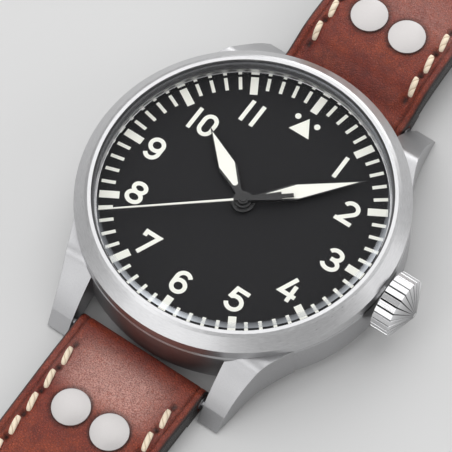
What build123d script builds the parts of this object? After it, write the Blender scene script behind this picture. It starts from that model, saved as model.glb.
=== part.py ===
from build123d import *
import os
from math import acos, asin, atan2, cos, degrees, hypot, radians, sin, sqrt

# Pilot watch with an automatic three-hand movement and a riveted leather strap laid open.
# Millimetres. +Z leaves the crystal, +Y points to 12 o'clock and +X to the crown.
# The origin is the centre of the case back's flat outer face.

# Case
case_radius = 21.0
wall_foot_rise = 0.45
foot_bevel = 0.25
deck_bevel_width = 0.25
deck_bevel_height = 0.65
dial_seat_inset = 2.0
dial_ledge = 1.8
bezel_groove_inset = 0.35
bezel_groove_width = 0.6
bezel_groove_depth = 0.45
cut_overrun = 1.0
dial_seat_radius = case_radius - dial_seat_inset
case_bore = dial_seat_radius - dial_ledge
bezel_groove_inner = dial_seat_radius + bezel_groove_inset
bezel_groove_outer = bezel_groove_inner + bezel_groove_width

# Heights, stacked from the case back's floor to the crystal
back_floor = 1.3
rotor_lift = 0.35
rotor_plate_thickness = 0.35
rotor_rim_rise = 0.6
rotor_rim_gap = 0.35
bridge_thickness = 0.55
train_space = 1.9
plate_thickness = 1.8
motion_space = 0.65
dial_thickness = 0.4
rotor_plate_bottom = back_floor + rotor_lift
rotor_weight_top = rotor_plate_bottom + rotor_plate_thickness + rotor_rim_rise
bridge_bottom = rotor_weight_top + rotor_rim_gap
bridge_top = bridge_bottom + bridge_thickness
plate_bottom = bridge_top + train_space
plate_top = plate_bottom + plate_thickness
dial_underside = plate_top + motion_space
deck_height = dial_underside + dial_thickness

# Lugs
lug_gap = 20.0
bar_setback = 1.6
bar_height = 1.65
lug_root_angle = 38.0
lug_root_inset = 0.6
lug_waist_width = 4.2
lug_waist_setback = 2.7
lug_tip_width = 2.9
lug_tip_overhang = 1.9
lug_ridge_overhang = 0.4
lug_ridge_rise = 0.75
lug_tip_height = 0.25
lug_heel_setback = 0.6
lug_heel_run = 3.0
lug_bend_setback = 3.7
lug_bend_radius = 3.5
lug_crown_rise = 0.18
lug_root_setback = 9.5
bar_reach = case_radius + bar_setback
lug_waist_reach = case_radius - lug_waist_setback
lug_tip_reach = bar_reach + lug_tip_overhang
lug_ridge_reach = bar_reach + lug_ridge_overhang
lug_ridge_height = bar_height + lug_ridge_rise
lug_heel_reach = bar_reach - lug_heel_setback
lug_heel_root = case_radius - lug_heel_run
lug_bend_reach = case_radius - lug_bend_setback
lug_root_reach = case_radius - lug_root_setback

# Bezel, crystal and flange ring
bezel_wall_height = 1.6
bezel_slope_width = 1.4
bezel_slope_height = 1.4
bezel_facet_width = 0.4
bezel_facet_height = 0.22
bezel_rim_width = 0.45
crystal_fit = 0.33
crystal_ledge = 0.17
crystal_thickness = 1.9
crystal_chamfer_width = 0.6
crystal_chamfer_height = 0.35
crystal_seat_rise = 1.6
bezel_ledge_rise = 0.95
flange_play = 0.1
flange_width = 0.7
gasket_gap = 0.03
gasket_headroom = 0.45
bezel_bore = case_radius - bezel_slope_width - bezel_facet_width - bezel_rim_width
crystal_radius = bezel_bore - crystal_fit
bezel_ledge_bore = crystal_radius - crystal_ledge
crystal_seat = deck_height + crystal_seat_rise
crystal_top = crystal_seat + crystal_thickness
flange_outer = dial_seat_radius - flange_play
flange_inner = flange_outer - flange_width

# Case back
back_cone_width = 2.5
back_rim_inset = 2.3
back_cone_height = 1.4
back_rim_height = 0.5
back_skirt_play = 0.1
back_skirt_width = 1.2
back_skirt_rise = 1.3
notch_count = 6
notch_width = 3.0
notch_length = 1.6
notch_depth = 0.8
back_gasket_inset = 0.1
back_gasket_width = 0.7
back_gasket_height = 0.4
case_underside = back_cone_height + back_rim_height
wall_foot = case_underside + wall_foot_rise
back_rim_radius = case_radius - back_rim_inset
back_flat_radius = back_rim_radius - back_cone_width
back_skirt_outer = case_bore - back_skirt_play
back_skirt_inner = back_skirt_outer - back_skirt_width
back_skirt_top = case_underside + back_skirt_rise
back_gasket_inner = case_bore + back_gasket_inset
back_gasket_outer = back_gasket_inner + back_gasket_width

# Movement plates
plate_radius = 12.8
plate_play = 0.1
bridge_inset = 0.6
bridge_wall_width = 0.95
bridge_wall_start = 25.0
bridge_wall_sweep = 130.0
bridge_cut_reach = 4.6
cock_gap = 0.3
cock_half_width = 3.4
cock_foot_size = (5.2, 2.9)
cock_foot_inset = 2.0875
cock_foot_angle = 237.7244
ring_lip = 0.35
pivot_radius = 0.15
pivot_clearance = 0.03
arbor_radius = 0.2
pivot_depth = 0.3
arbor_top_gap = 0.05
screw_head_radius = 0.9
screw_head_height = 0.25
screw_shank_radius = 0.4
screw_slot_width = 0.22
screw_slot_depth = 0.12
bridge_screw_angles = (38.0, 90.0, 142.0)
bridge_radius = plate_radius - bridge_inset
bridge_wall_inner = bridge_radius - bridge_wall_width
bridge_screw_circle = (bridge_radius + bridge_wall_inner) / 2
cock_cut_reach = bridge_cut_reach + cock_gap
ring_outer = case_bore - plate_play
ring_inner = plate_radius + plate_play
ring_lip_inner = plate_radius - ring_lip

# Dial
dial_play = 0.1
dial_hole = 0.95
dial_foot_radius = 0.4
dial_foot_length = 1.3
dial_foot_inset = 1.0
dial_foot_angles = (100.0, 280.0)
foot_clearance = 0.05
dial_radius = dial_seat_radius - dial_play
dial_foot_circle = plate_radius - dial_foot_inset

# Going train: teeth, places and heights above the bridge
tooth_height_share = 0.9
tooth_root_share = 1.1
tooth_width_share = 0.3
wheel_thickness = 0.12
fourth_teeth = 72
fourth_leaves = 6
third_teeth = 45
third_leaves = 6
great_teeth = 54
great_leaves = 8
barrel_teeth = 56
driving_teeth = 48
escape_leaves = 6
escape_teeth = 20
third_distance = 4.08
great_spacing = 4.2
great_distance = 5.77
barrel_spacing = 4.84
barrel_distance = 6.68
barrel_angle = 51.0
great_angle = 96.0
escape_distance = 3.9
escape_angle = 240.0
great_rise = 0.1
train_step = 0.2
pinion_overlap = 0.04
barrel_flange_rise = 0.95
barrel_flange_height = 0.2
barrel_height = 1.3
barrel_rim = 0.3
barrel_wall = 0.2
barrel_recess_gap = 0.15
barrel_arbor_radius = 0.6
spring_ribbon = 0.12
spring_turns = 5
spring_steps = 12
spring_edge_gap = 0.1
escape_rise = 1.45
escape_radius = 1.85
escape_tooth_height = 0.32
great_level = bridge_top + great_rise
third_level = great_level + train_step
fourth_level = third_level + train_step
escape_level = bridge_top + escape_rise
barrel_flange_level = bridge_top + barrel_flange_rise
barrel_top = barrel_flange_level + barrel_height

# Motion work under the dial
driving_gap = 0.04
cannon_bore = 0.25
cannon_radius = 0.45
cannon_leaves = 10
motion_distance = 4.4
motion_angle = 230.0
minute_wheel_teeth = 30
minute_wheel_leaves = 10
minute_wheel_gap = 0.04
hour_wheel_teeth = 40
hour_wheel_gap = 0.1
hour_pipe_bore = 0.5
hour_pipe_radius = 0.8
motion_post_radius = 0.3
driving_level = plate_top + driving_gap
cannon_teeth_level = driving_level + wheel_thickness
minute_wheel_level = cannon_teeth_level + minute_wheel_gap
hour_wheel_level = minute_wheel_level + wheel_thickness + hour_wheel_gap

# Escapement and balance
fork_spacing = 2.45
fork_body_radius = 0.4
fork_arm_reach = 1.15
fork_arm_width = 0.3
stone_length = 0.65
balance_place = (2.6, -7.1)
balance_outer = 4.3
balance_rim_width = 0.45
balance_rise = 0.7
balance_height = 0.4
balance_arm_width = 0.45
roller_radius = 0.6
roller_thickness = 0.05
impulse_pin_circle = 0.42
impulse_pin_radius = 0.07
fork_end_gap = 0.1
roller_gap = 0.06
hairspring_rise = 0.25
hairspring_height = 0.12
hairspring_ribbon = 0.05
hairspring_inner = 0.3
hairspring_outer = 2.35
hairspring_turns = 5
hairspring_steps = 14
stud_gap = 0.13
stud_radius = 0.12
pallet_bridge_rise = 1.16
pallet_bridge_thickness = 0.2
pallet_bridge_width = 0.9
pallet_foot_reach = 1.9
pallet_foot_radius = 0.45
fork_level = escape_level
balance_inner = balance_outer - balance_rim_width
balance_level = bridge_top + balance_rise
roller_level = fork_level - roller_gap
staff_bottom = bridge_top - pivot_depth + arbor_top_gap
staff_top = plate_bottom + pivot_depth - arbor_top_gap
hairspring_level = bridge_top + hairspring_rise
stud_circle = hairspring_outer + stud_gap + stud_radius
pallet_bridge_level = bridge_top + pallet_bridge_rise

# Winding and setting work: lengths along the stem run inwards from the plate's edge
stem_drop = 0.75
stem_radius = 0.55
stem_square = 0.78
stem_pilot_radius = 0.4
stem_groove_radius = 0.3
stem_round_length = 1.3
stem_square_length = 4.7
stem_collar_length = 0.2
stem_groove_width = 0.4
stem_pilot_length = 2.0
stem_thread_length = 2.8
pinion_gap = 0.1
pinion_length = 1.1
pinion_radius = 1.15
pinion_teeth = 10
pinion_play = 0.03
clutch_gap = 0.05
clutch_length = 1.35
clutch_radius = 0.72
clutch_play = 0.02
clutch_groove_radius = 0.5
clutch_groove_setback = 0.5
clutch_groove_width = 0.4
clutch_travel = 0.7
crown_travel = 1.2
lever_arm = 3.15
lever_width = 0.8
lever_thickness = 0.14
lever_pin_radius = 0.15
lever_pin_depth = 0.22
lever_gap = 0.03
yoke_arm = 2.55
yoke_width = 0.9
yoke_tip_width = 0.18
yoke_tip_length = 0.4
yoke_thickness = 0.3
yoke_tip_gap = 0.04
channel_half_width = 1.3
channel_gap = 0.3
channel_step_length = 3.5
channel_roof = 0.48
channel_web = 0.2
recess_margin = 0.8
lever_recess_depth = 0.24
yoke_recess_depth = 1.1
crown_wheel_setback = 3.8
crown_wheel_radius = 2.0
crown_wheel_teeth = 20
crown_wheel_gap = 0.2
crown_wheel_thickness = 0.2
winding_module = 0.175
winding_leaves = 13
winding_wheel_teeth = 20
ratchet_teeth = 30
ratchet_gap = 0.11
ratchet_thickness = 0.22
stem_height = plate_top - stem_drop
stem_round_start = plate_radius - stem_round_length
stem_square_start = stem_round_start - stem_square_length
stem_groove_end = stem_square_start - stem_collar_length
stem_groove_start = stem_groove_end - stem_groove_width
stem_collar_start = stem_groove_start - stem_collar_length
stem_pilot_start = stem_collar_start - stem_pilot_length
pinion_end = stem_round_start - pinion_gap
pinion_start = pinion_end - pinion_length
pinion_bore = stem_radius + pinion_play
clutch_end = pinion_start - clutch_gap
clutch_start = clutch_end - clutch_length
clutch_bore = stem_square + 2 * clutch_play
clutch_groove_end = clutch_end - clutch_groove_setback
clutch_groove_start = clutch_groove_end - clutch_groove_width
channel_start = stem_collar_start - channel_gap
channel_step = stem_round_start - channel_step_length
channel_floor_inner = plate_bottom + channel_roof
channel_floor_outer = plate_bottom + channel_web
lever_recess_floor = plate_top - lever_recess_depth
yoke_recess_floor = plate_top - yoke_recess_depth
crown_wheel_place = (plate_radius - crown_wheel_setback, 0.0)
crown_wheel_level = plate_bottom - crown_wheel_gap - crown_wheel_thickness
ratchet_level = bridge_bottom - ratchet_gap - ratchet_thickness

# Rotor
rotor_edge_gap = 0.5
rotor_rim_width = 1.9
rotor_hub_radius = 2.6
rotor_bore = 1.5
rotor_clearance = 0.05
rotor_flange_lip = 0.25
rotor_flange_thickness = 0.12
rotor_window_radius = 2.4
rotor_window_reach = 6.4
rotor_window_angles = (222.0, 318.0)
rotor_outer = ring_inner - rotor_edge_gap
rotor_weight_inner = rotor_outer - rotor_rim_width
rotor_flange_radius = rotor_bore + rotor_flange_lip

# Crown and tube
crown_radius = 3.95
crown_gap = 0.6
crown_length = 2.4
crown_cone_length = 1.5
crown_tip_share = 0.12
crown_flutes = 26
crown_land_share = 0.37
crown_groove_depth = 0.32
tube_radius = 1.3
tube_bore = 0.6
tube_inset = 0.1
tube_reach = 1.7
crown_play = 0.3
crown_end_gap = 0.1
crown_gasket_setback = 0.1
crown_gasket_width = 0.3
crown_gasket_gap = 0.02
stem_hole_play = 0.2
crown_start = case_radius + crown_gap
crown_shoulder = crown_start + crown_length
crown_tip = crown_shoulder + crown_cone_length
crown_bore = tube_radius + crown_play
tube_start = case_bore + tube_inset
tube_end = crown_start + tube_reach
crown_bore_end = tube_end + crown_end_gap
crown_gasket_start = crown_start + crown_gasket_setback
stem_end = crown_start + stem_thread_length
stem_hole_radius = stem_radius + stem_hole_play

# Hands: angles run clockwise from 12 o'clock
hour_angle = 303.8
minute_angle = 45.8
seconds_angle = 231.0
hand_thickness = 0.15
hour_hand_rise = 0.4
hand_step = 0.4
hour_hand_width = 2.4
minute_hand_width = 2.25
hand_waist_share = 0.33
hand_root_reach = 1.9
hand_neck_width = 0.75
hand_frame_width = 0.16
hour_hub_radius = 1.45
minute_hub_radius = 1.05
seconds_hub_radius = 0.7
seconds_boss_height = 0.12
seconds_width = 0.28
seconds_tip_width = 0.16
seconds_tip_gap = 0.2
minute_hand_setback = 2.3
hour_hand_setback = 4.3
tail_length = 6.3
tail_shoulder = 4.8
tail_root_width = 0.5
tail_shoulder_width = 1.15
tail_bar_width = 0.5
hour_hand_height = deck_height + hour_hand_rise
minute_hand_height = hour_hand_height + hand_step
seconds_hand_height = minute_hand_height + hand_step
seconds_hand_length = flange_inner - seconds_tip_gap
minute_hand_length = seconds_hand_length - minute_hand_setback
hour_hand_length = minute_hand_length - hour_hand_setback

# Spring bars
bar_radius = 0.9
bar_tube_gap = 0.4
bar_pin_radius = 0.45
bar_hole_clearance = 0.05
bar_hole_depth = 1.15
bar_end_gap = 0.25
bar_tube_half = lug_gap / 2 - bar_tube_gap
bar_pin_half = lug_gap / 2 + bar_hole_depth - bar_end_gap

# Strap
strap_side_gap = 0.5
strap_narrowing = 0.6
strap_taper_length = 50.0
strap_roll_wall = 0.6
strap_bore_clearance = 0.05
strap_lining = 1.2
strap_lining_start = 3.2
strap_long_length = 118.0
strap_short_length = 75.0
strap_underside = 0.02
strap_pad_thickness = 3.4
strap_long_shares = ((0.04, 1.0), (0.1, 0.97), (0.3, 0.82), (1.0, 0.7))
strap_arch_height = 2.45
strap_arch_shares = ((0.06, 0.76), (0.15, 1.0), (0.29, 0.86), (0.47, 0.54))
strap_short_thickness = 3.3
strap_short_shares = (0.97, 1.0, 0.96, 0.91)
strap_tip_length = 14.0
strap_tip_width_share = 0.72
strap_tip_reach_share = 0.32
strap_hole_radius = 0.9
strap_hole_pitch = 6.0
strap_hole_count = 7
strap_hole_first = 48.0
strap_slot_gap = 0.45
strap_slot_end_gap = 2.15
strap_width = lug_gap - 2 * strap_side_gap
strap_end_width = strap_width - 2 * strap_narrowing
strap_roll_radius = bar_radius + strap_roll_wall

# Rivets
rivet_setback = 10.1
rivet_offset = 2.9
rivet_head_radius = 2.45
rivet_head_height = 0.45
rivet_head_sink = 0.12
rivet_head_edge = 0.25
rivet_shank_radius = 0.9
rivet_cap_radius = 2.0
rivet_cap_height = 0.35
rivet_reach = bar_reach + rivet_setback

# Keepers
keeper_wall = 1.0
keeper_width = 5.0
keeper_side_gap = 0.2
keeper_lift_gap = 0.28
keeper_headroom = 2.6
fixed_keeper_setback = 9.5
sliding_keeper_setback = 22.0
keeper_round = 0.2

# Buckle
buckle_bar_radius = 0.75
buckle_side_gap = 0.3
buckle_arm_width = 2.4
buckle_back = 1.6
buckle_reach = 10.8
buckle_end_width = 2.6
buckle_thickness = 2.2
buckle_corner = 3.2
buckle_inner_corner = 1.4
buckle_hole_depth = 1.2
tongue_width = 2.3
tongue_bore_play = 0.05
tongue_loop_wall = 0.65
tongue_thickness = 1.1
tongue_tip_thickness = 0.8
tongue_tip_overhang = 0.5
tongue_rest_gap = 0.03
buckle_opening_half = strap_end_width / 2 + buckle_side_gap
tongue_bore = buckle_bar_radius + tongue_bore_play
tongue_loop_radius = tongue_bore + tongue_loop_wall
strap_slot_width = tongue_width + 2 * strap_slot_gap
strap_slot_depth = tongue_loop_radius + strap_slot_end_gap

os.makedirs("parts", exist_ok=True)


def save(name, solid):
    """Write one piece to its own STEP file."""
    export_step(solid, f"parts/{name}.step")


def turned(points):
    """Turn a closed (radius, height) outline about the watch's axis."""
    outline = make_face(Polyline(*points, close=True))
    return revolve(Plane.XZ * outline, Axis.Z)


def disc(radius, low, high, place=(0, 0)):
    """A round block between two heights."""
    return extrude(Plane.XY.offset(low) * Pos(place[0], place[1]) * Circle(radius), high - low)


def ring(outer, inner, low, high, place=(0, 0)):
    """A flat ring between two heights."""
    return disc(outer, low, high, place) - disc(inner, low, high, place)


def block(low, high):
    """A box from its lowest corner to its highest corner."""
    size = [top - bottom for bottom, top in zip(low, high)]
    middle = [(top + bottom) / 2 for bottom, top in zip(low, high)]
    return Pos(*middle) * Box(*size)


def shaft(radius, start, end):
    """A round bar along +X on the stem's axis."""
    return extrude(Plane.YZ.offset(start) * Pos(0, stem_height) * Circle(radius), end - start)


def polar(distance, angle):
    """A place in the plane of the watch, by distance and angle from +X."""
    return (distance * cos(radians(angle)), distance * sin(radians(angle)))


def direction(start, end):
    """The angle of the line from one place to another."""
    return degrees(atan2(end[1] - start[1], end[0] - start[0]))


def spacing(start, end):
    """The distance between two places."""
    return hypot(end[0] - start[0], end[1] - start[1])


def gear(teeth, pitch_radius, low, high, place=(0, 0), turn=0.0):
    """A wheel of pointed teeth; one tooth points along the turn angle."""
    module = 2 * pitch_radius / teeth
    tip = pitch_radius + module * tooth_height_share
    root = pitch_radius - module * tooth_root_share
    step = 360 / teeth
    points = []
    for index in range(teeth):
        middle = turn + index * step
        points.append(polar(root, middle - tooth_width_share * step))
        points.append(polar(tip, middle))
        points.append(polar(root, middle + tooth_width_share * step))
    face = Pos(place[0], place[1]) * make_face(Polyline(*points, close=True))
    return extrude(Plane.XY.offset(low) * face, high - low)


def meshed(turn, teeth, other_teeth, angle):
    """The turn angle of a wheel that meshes with one whose centre lies behind it at the angle."""
    return angle + 180 + 180 / other_teeth - (turn - angle) * teeth / other_teeth


def spiral(inner, outer, ribbon, turns, steps, low, high, place=(0, 0)):
    """A flat spiral ribbon whose radius grows evenly with the angle."""
    count = turns * steps
    outside = []
    inside = []
    for index in range(count + 1):
        radius = inner + (outer - inner) * index / count
        angle = 360 * index / steps
        outside.append(polar(radius + ribbon / 2, angle))
        inside.append(polar(radius - ribbon / 2, angle))
    face = make_face(Polyline(*(outside + inside[::-1]), close=True))
    return extrude(Plane.XY.offset(low) * Pos(place[0], place[1]) * face, high - low)


def four_ways(solid):
    """Copy a piece from the quarter at +X and +Y to all four quarters."""
    side = solid + mirror(solid, about=Plane.YZ)
    return side + mirror(side, about=Plane.XZ)


# Case

def lug():
    """The lug at +X and +Y: a bent side outline trimmed by a hollow outer curve."""
    inner = lug_gap / 2
    fall = atan2(deck_height - lug_ridge_height, lug_ridge_reach - lug_bend_reach)
    run_in = lug_bend_radius * (1 - cos(fall)) / sin(fall)
    bend_start = (lug_bend_reach - run_in, deck_height)
    bend_end = (lug_bend_reach + run_in * cos(fall), deck_height - run_in * sin(fall))
    ridge = (lug_ridge_reach, lug_ridge_height)
    crown = ((bend_end[0] + ridge[0]) / 2 + lug_crown_rise * sin(fall),
             (bend_end[1] + ridge[1]) / 2 + lug_crown_rise * cos(fall))
    half = fall / 2
    bend_middle = (bend_start[0] + lug_bend_radius * sin(half),
                   deck_height - lug_bend_radius * (1 - cos(half)))
    tip = (lug_tip_reach, lug_tip_height)
    heel = (lug_heel_reach, lug_tip_height)
    heel_root = (lug_heel_root, case_underside)
    root_low = (lug_root_reach, case_underside)
    root_high = (lug_root_reach, deck_height)
    outline = Line(root_high, bend_start) + ThreePointArc(bend_start, bend_middle, bend_end)
    outline += ThreePointArc(bend_end, crown, ridge)
    outline += Polyline(ridge, tip, heel, heel_root, root_low, root_high)
    side = extrude(Plane.YZ.offset(inner) * make_face(outline), case_radius - inner)
    root = polar(case_radius - lug_root_inset, lug_root_angle)
    flare = polar(case_radius, lug_root_angle)
    waist = (inner + lug_waist_width, lug_waist_reach)
    end = (inner + lug_tip_width, lug_tip_reach)
    plan = ThreePointArc(flare, waist, end)
    plan += Polyline(end, (inner, lug_tip_reach), (inner, lug_root_reach), root, flare)
    return side & extrude(make_face(plan), deck_height)


def mid_case():
    """The middle case: a turned ring with four lugs, bored for movement, tube and spring bars."""
    wall = turned([
        (case_bore, case_underside),
        (case_radius - 2 * foot_bevel, case_underside),
        (case_radius, wall_foot),
        (case_radius, deck_height - deck_bevel_height),
        (case_radius - deck_bevel_width, deck_height),
        (case_bore, deck_height),
    ])
    lugs = four_ways(lug())
    body = wall + lugs
    body -= disc(case_bore, 0, deck_height + cut_overrun)
    body -= disc(dial_seat_radius, dial_underside, deck_height + cut_overrun)
    groove_low = deck_height - bezel_groove_depth
    body -= ring(bezel_groove_outer, bezel_groove_inner, groove_low, deck_height + cut_overrun)
    body -= disc(back_gasket_outer, 0, case_underside + back_gasket_height)
    body -= shaft(tube_radius, case_bore - cut_overrun, case_radius + cut_overrun)
    hole = bar_pin_radius + bar_hole_clearance
    for side in (-1, 1):
        drill = Plane.YZ.offset(-lug_gap / 2 - bar_hole_depth) * Pos(side * bar_reach, bar_height)
        body -= extrude(drill * Circle(hole), lug_gap + 2 * bar_hole_depth)
    return body


def bezel():
    """The bezel: an upright wall, a sloped face, a narrow facet and the crystal's seat."""
    wall_top = deck_height + bezel_wall_height
    slope_top = wall_top + bezel_slope_height
    slope_inner = case_radius - bezel_slope_width
    facet_top = slope_top + bezel_facet_height
    facet_inner = slope_inner - bezel_facet_width
    ledge_low = deck_height + bezel_ledge_rise
    lip_low = deck_height - bezel_groove_depth
    return turned([
        (case_radius, deck_height),
        (case_radius, wall_top),
        (slope_inner, slope_top),
        (facet_inner, facet_top),
        (bezel_bore, facet_top),
        (bezel_bore, crystal_seat),
        (bezel_ledge_bore, crystal_seat),
        (bezel_ledge_bore, ledge_low),
        (dial_seat_radius, ledge_low),
        (dial_seat_radius, deck_height),
        (bezel_groove_inner, deck_height),
        (bezel_groove_inner, lip_low),
        (bezel_groove_outer, lip_low),
        (bezel_groove_outer, deck_height),
    ])


def crystal():
    """The flat crystal with its bevelled upper edge."""
    return turned([
        (0, crystal_seat),
        (crystal_radius, crystal_seat),
        (crystal_radius, crystal_top - crystal_chamfer_height),
        (crystal_radius - crystal_chamfer_width, crystal_top),
        (0, crystal_top),
    ])


def case_back():
    """The screwed case back: a shallow dish with a threaded skirt and six key notches."""
    body = turned([
        (0, 0),
        (back_flat_radius, 0),
        (back_rim_radius, back_cone_height),
        (back_rim_radius, case_underside),
        (back_skirt_outer, case_underside),
        (back_skirt_outer, back_skirt_top),
        (back_skirt_inner, back_skirt_top),
        (back_skirt_inner, back_floor),
        (0, back_floor),
    ])
    notch = block((back_rim_radius - notch_length, -notch_width / 2, -cut_overrun),
                  (back_rim_radius + cut_overrun, notch_width / 2, notch_depth))
    for index in range(notch_count):
        body -= Rot(0, 0, 360 * index / notch_count) * notch
    return body


def save_case():
    """Case, glass, seals and back."""
    bezel_rim = deck_height + bezel_wall_height + bezel_slope_height
    save("mid_case", mid_case())
    save("bezel", bezel())
    save("crystal", crystal())
    save("crystal_gasket", ring(bezel_bore - gasket_gap, crystal_radius + gasket_gap,
                                crystal_seat, bezel_rim - gasket_headroom))
    save("rehaut_ring", ring(flange_outer, flange_inner, deck_height, deck_height + bezel_ledge_rise))
    save("case_back", case_back())
    save("case_back_gasket", ring(back_gasket_outer - gasket_gap, back_gasket_inner,
                                  case_underside, case_underside + back_gasket_height))
    save("crown_tube", shaft(tube_radius, tube_start, tube_end)
         - shaft(tube_bore, tube_start, tube_end))


# Places of the train's wheels

centre_place = (0.0, 0.0)
barrel_place = polar(barrel_distance, barrel_angle)
great_place = polar(great_distance, great_angle)
third_angle = great_angle + degrees(acos(
    (third_distance**2 + great_distance**2 - great_spacing**2) / (2 * third_distance * great_distance)))
third_place = polar(third_distance, third_angle)
escape_place = polar(escape_distance, escape_angle)
fork_share = fork_spacing / spacing(escape_place, balance_place)
fork_place = tuple(a + (b - a) * fork_share for a, b in zip(escape_place, balance_place))
motion_place = polar(motion_distance, motion_angle)
cock_screw_place = polar(bridge_radius - cock_foot_inset, cock_foot_angle)
cock_foot_low = tuple(place - size / 2 for place, size in zip(cock_screw_place, cock_foot_size))
barrel_radius = barrel_spacing * barrel_teeth / (barrel_teeth + great_leaves)
barrel_drum_radius = barrel_radius - barrel_rim
winding_radius = winding_module * winding_leaves / 2
winding_wheel_radius = winding_module * winding_wheel_teeth / 2
ratchet_radius = winding_module * ratchet_teeth / 2


def third_corner(start, end, from_start, from_end):
    """The place at given distances from two others, on the left of the line between them."""
    length = spacing(start, end)
    along = (from_start**2 - from_end**2 + length**2) / (2 * length)
    across = sqrt(from_start**2 - along**2)
    ahead = radians(direction(start, end))
    return (start[0] + along * cos(ahead) - across * sin(ahead),
            start[1] + along * sin(ahead) + across * cos(ahead))


winding_wheel_place = third_corner(crown_wheel_place, barrel_place,
                                   winding_radius + winding_wheel_radius,
                                   winding_wheel_radius + ratchet_radius)


# Dial and plates

def dial():
    """The dial: a plain disc with a centre hole and two feet."""
    low = dial_underside
    body = disc(dial_radius, low, deck_height) - disc(dial_hole, low, deck_height)
    for angle in dial_foot_angles:
        body += disc(dial_foot_radius, low - dial_foot_length, low, polar(dial_foot_circle, angle))
    return body


def main_plate():
    """The main plate: wheel pivots, barrel recess, and the pocket for the winding work."""
    body = disc(plate_radius, plate_bottom, plate_top)
    hole = arbor_radius + pivot_clearance
    body -= disc(cannon_bore, plate_bottom, plate_top)
    body -= disc(hole, plate_bottom, plate_top, third_place)
    for place in (great_place, escape_place, fork_place, balance_place):
        body -= disc(pivot_radius + pivot_clearance, plate_bottom, plate_bottom + pivot_depth, place)
    recess = barrel_drum_radius + barrel_recess_gap
    body -= disc(recess, plate_bottom, barrel_top + pinion_overlap, barrel_place)
    body -= disc(barrel_arbor_radius + pivot_clearance, plate_bottom,
                 barrel_top + pivot_depth, barrel_place)
    for angle in dial_foot_angles:
        body -= disc(dial_foot_radius + foot_clearance, plate_bottom, plate_top,
                     polar(dial_foot_circle, angle))
    body -= block((channel_start, -channel_half_width, channel_floor_inner),
                  (stem_round_start, channel_half_width, plate_top))
    body -= block((channel_step, -channel_half_width, channel_floor_outer),
                  (stem_round_start, channel_half_width, plate_top))
    body -= block((pinion_start - pivot_clearance, -channel_half_width, plate_bottom),
                  (stem_round_start, channel_half_width, plate_top))
    body -= block((lever_recess_span[0], 0, lever_recess_floor),
                  (lever_recess_span[1], lever_recess_reach, plate_top))
    body -= block((yoke_recess_span[0], -yoke_recess_reach, yoke_recess_floor),
                  (yoke_recess_span[1], 0, plate_top))
    body -= shaft(stem_radius + foot_clearance, stem_round_start - cut_overrun, plate_radius + cut_overrun)
    body -= shaft(stem_pilot_radius + pivot_clearance,
                  stem_pilot_start - arbor_top_gap, channel_start + pivot_clearance)
    body -= disc(pivot_radius + pivot_clearance, plate_bottom, channel_floor_outer, crown_wheel_place)
    for place, radius, floor in ((lever_place, motion_post_radius, lever_recess_floor),
                                 (yoke_place, motion_post_radius, yoke_recess_floor)):
        body -= disc(radius + pivot_clearance, floor - pivot_depth, floor, place)
    body += disc(motion_post_radius, plate_top, hour_wheel_level + wheel_thickness, motion_place)
    return body


def train_bridge():
    """The bridge over barrel and train, with a curved wall that stands on the main plate."""
    body = disc(bridge_radius, bridge_bottom, bridge_top)
    body -= block((-bridge_radius - cut_overrun, -bridge_radius - cut_overrun, bridge_bottom),
                  (bridge_radius + cut_overrun, -bridge_cut_reach, bridge_top))
    wall = ring(bridge_radius, bridge_wall_inner, bridge_top, plate_bottom)
    wall &= sector(bridge_wall_start, bridge_wall_sweep, bridge_top, plate_bottom)
    body += wall
    hole = pivot_radius + pivot_clearance
    for place in (centre_place, great_place, third_place, escape_place):
        body -= disc(hole, bridge_top - pivot_depth, bridge_top, place)
    body -= disc(barrel_arbor_radius + pivot_clearance, bridge_bottom, bridge_top, barrel_place)
    for place in (crown_wheel_place, winding_wheel_place):
        body -= disc(arbor_radius + pivot_clearance, bridge_bottom, bridge_top, place)
    for angle in bridge_screw_angles:
        body -= disc(screw_shank_radius, bridge_bottom, plate_bottom,
                     polar(bridge_screw_circle, angle))
    return body


def sector(start, sweep, low, high):
    """A wedge of the movement's space, used to keep part of a ring."""
    reach = 2 * plate_radius
    steps = int(sweep // 30) + 1
    points = [(0, 0)]
    for index in range(steps + 1):
        points.append(polar(reach, start + sweep * index / steps))
    return extrude(Plane.XY.offset(low) * make_face(Polyline(*points, close=True)), high - low)


def balance_cock():
    """The cock that carries the balance's lower pivot and the hairspring stud."""
    body = disc(bridge_radius, bridge_bottom, bridge_top)
    body &= block((cock_foot_low[0], -bridge_radius, bridge_bottom),
                  (balance_place[0] + cock_half_width, -cock_cut_reach, bridge_top))
    foot = block((cock_foot_low[0], cock_foot_low[1], bridge_top),
                 (cock_foot_low[0] + cock_foot_size[0], cock_foot_low[1] + cock_foot_size[1], plate_bottom))
    body += foot & disc(bridge_radius, bridge_top, plate_bottom)
    body -= disc(pivot_radius + pivot_clearance, bridge_top - pivot_depth, bridge_top, balance_place)
    stud = (balance_place[0] - stud_circle, balance_place[1])
    body += disc(stud_radius, bridge_top, hairspring_level + hairspring_height, stud)
    body -= disc(screw_shank_radius, bridge_bottom, plate_bottom, cock_screw_place)
    return body


def pallet_bridge():
    """The small bridge over the pallet fork, on two feet under the main plate."""
    ahead = radians(direction(escape_place, balance_place))
    across = (-sin(ahead), cos(ahead))
    ends = [tuple(c + side * pallet_foot_reach * a for c, a in zip(fork_place, across))
            for side in (-1, 1)]
    high = pallet_bridge_level + pallet_bridge_thickness
    bar = extrude(Plane.XY.offset(pallet_bridge_level)
                  * Pos(*fork_place) * Rot(0, 0, degrees(ahead) + 90)
                  * Rectangle(2 * pallet_foot_reach, pallet_bridge_width), pallet_bridge_thickness)
    for end in ends:
        bar += disc(pallet_foot_radius, pallet_bridge_level, plate_bottom, end)
    bar -= disc(pivot_radius + pivot_clearance, pallet_bridge_level, high, fork_place)
    return bar


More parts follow.
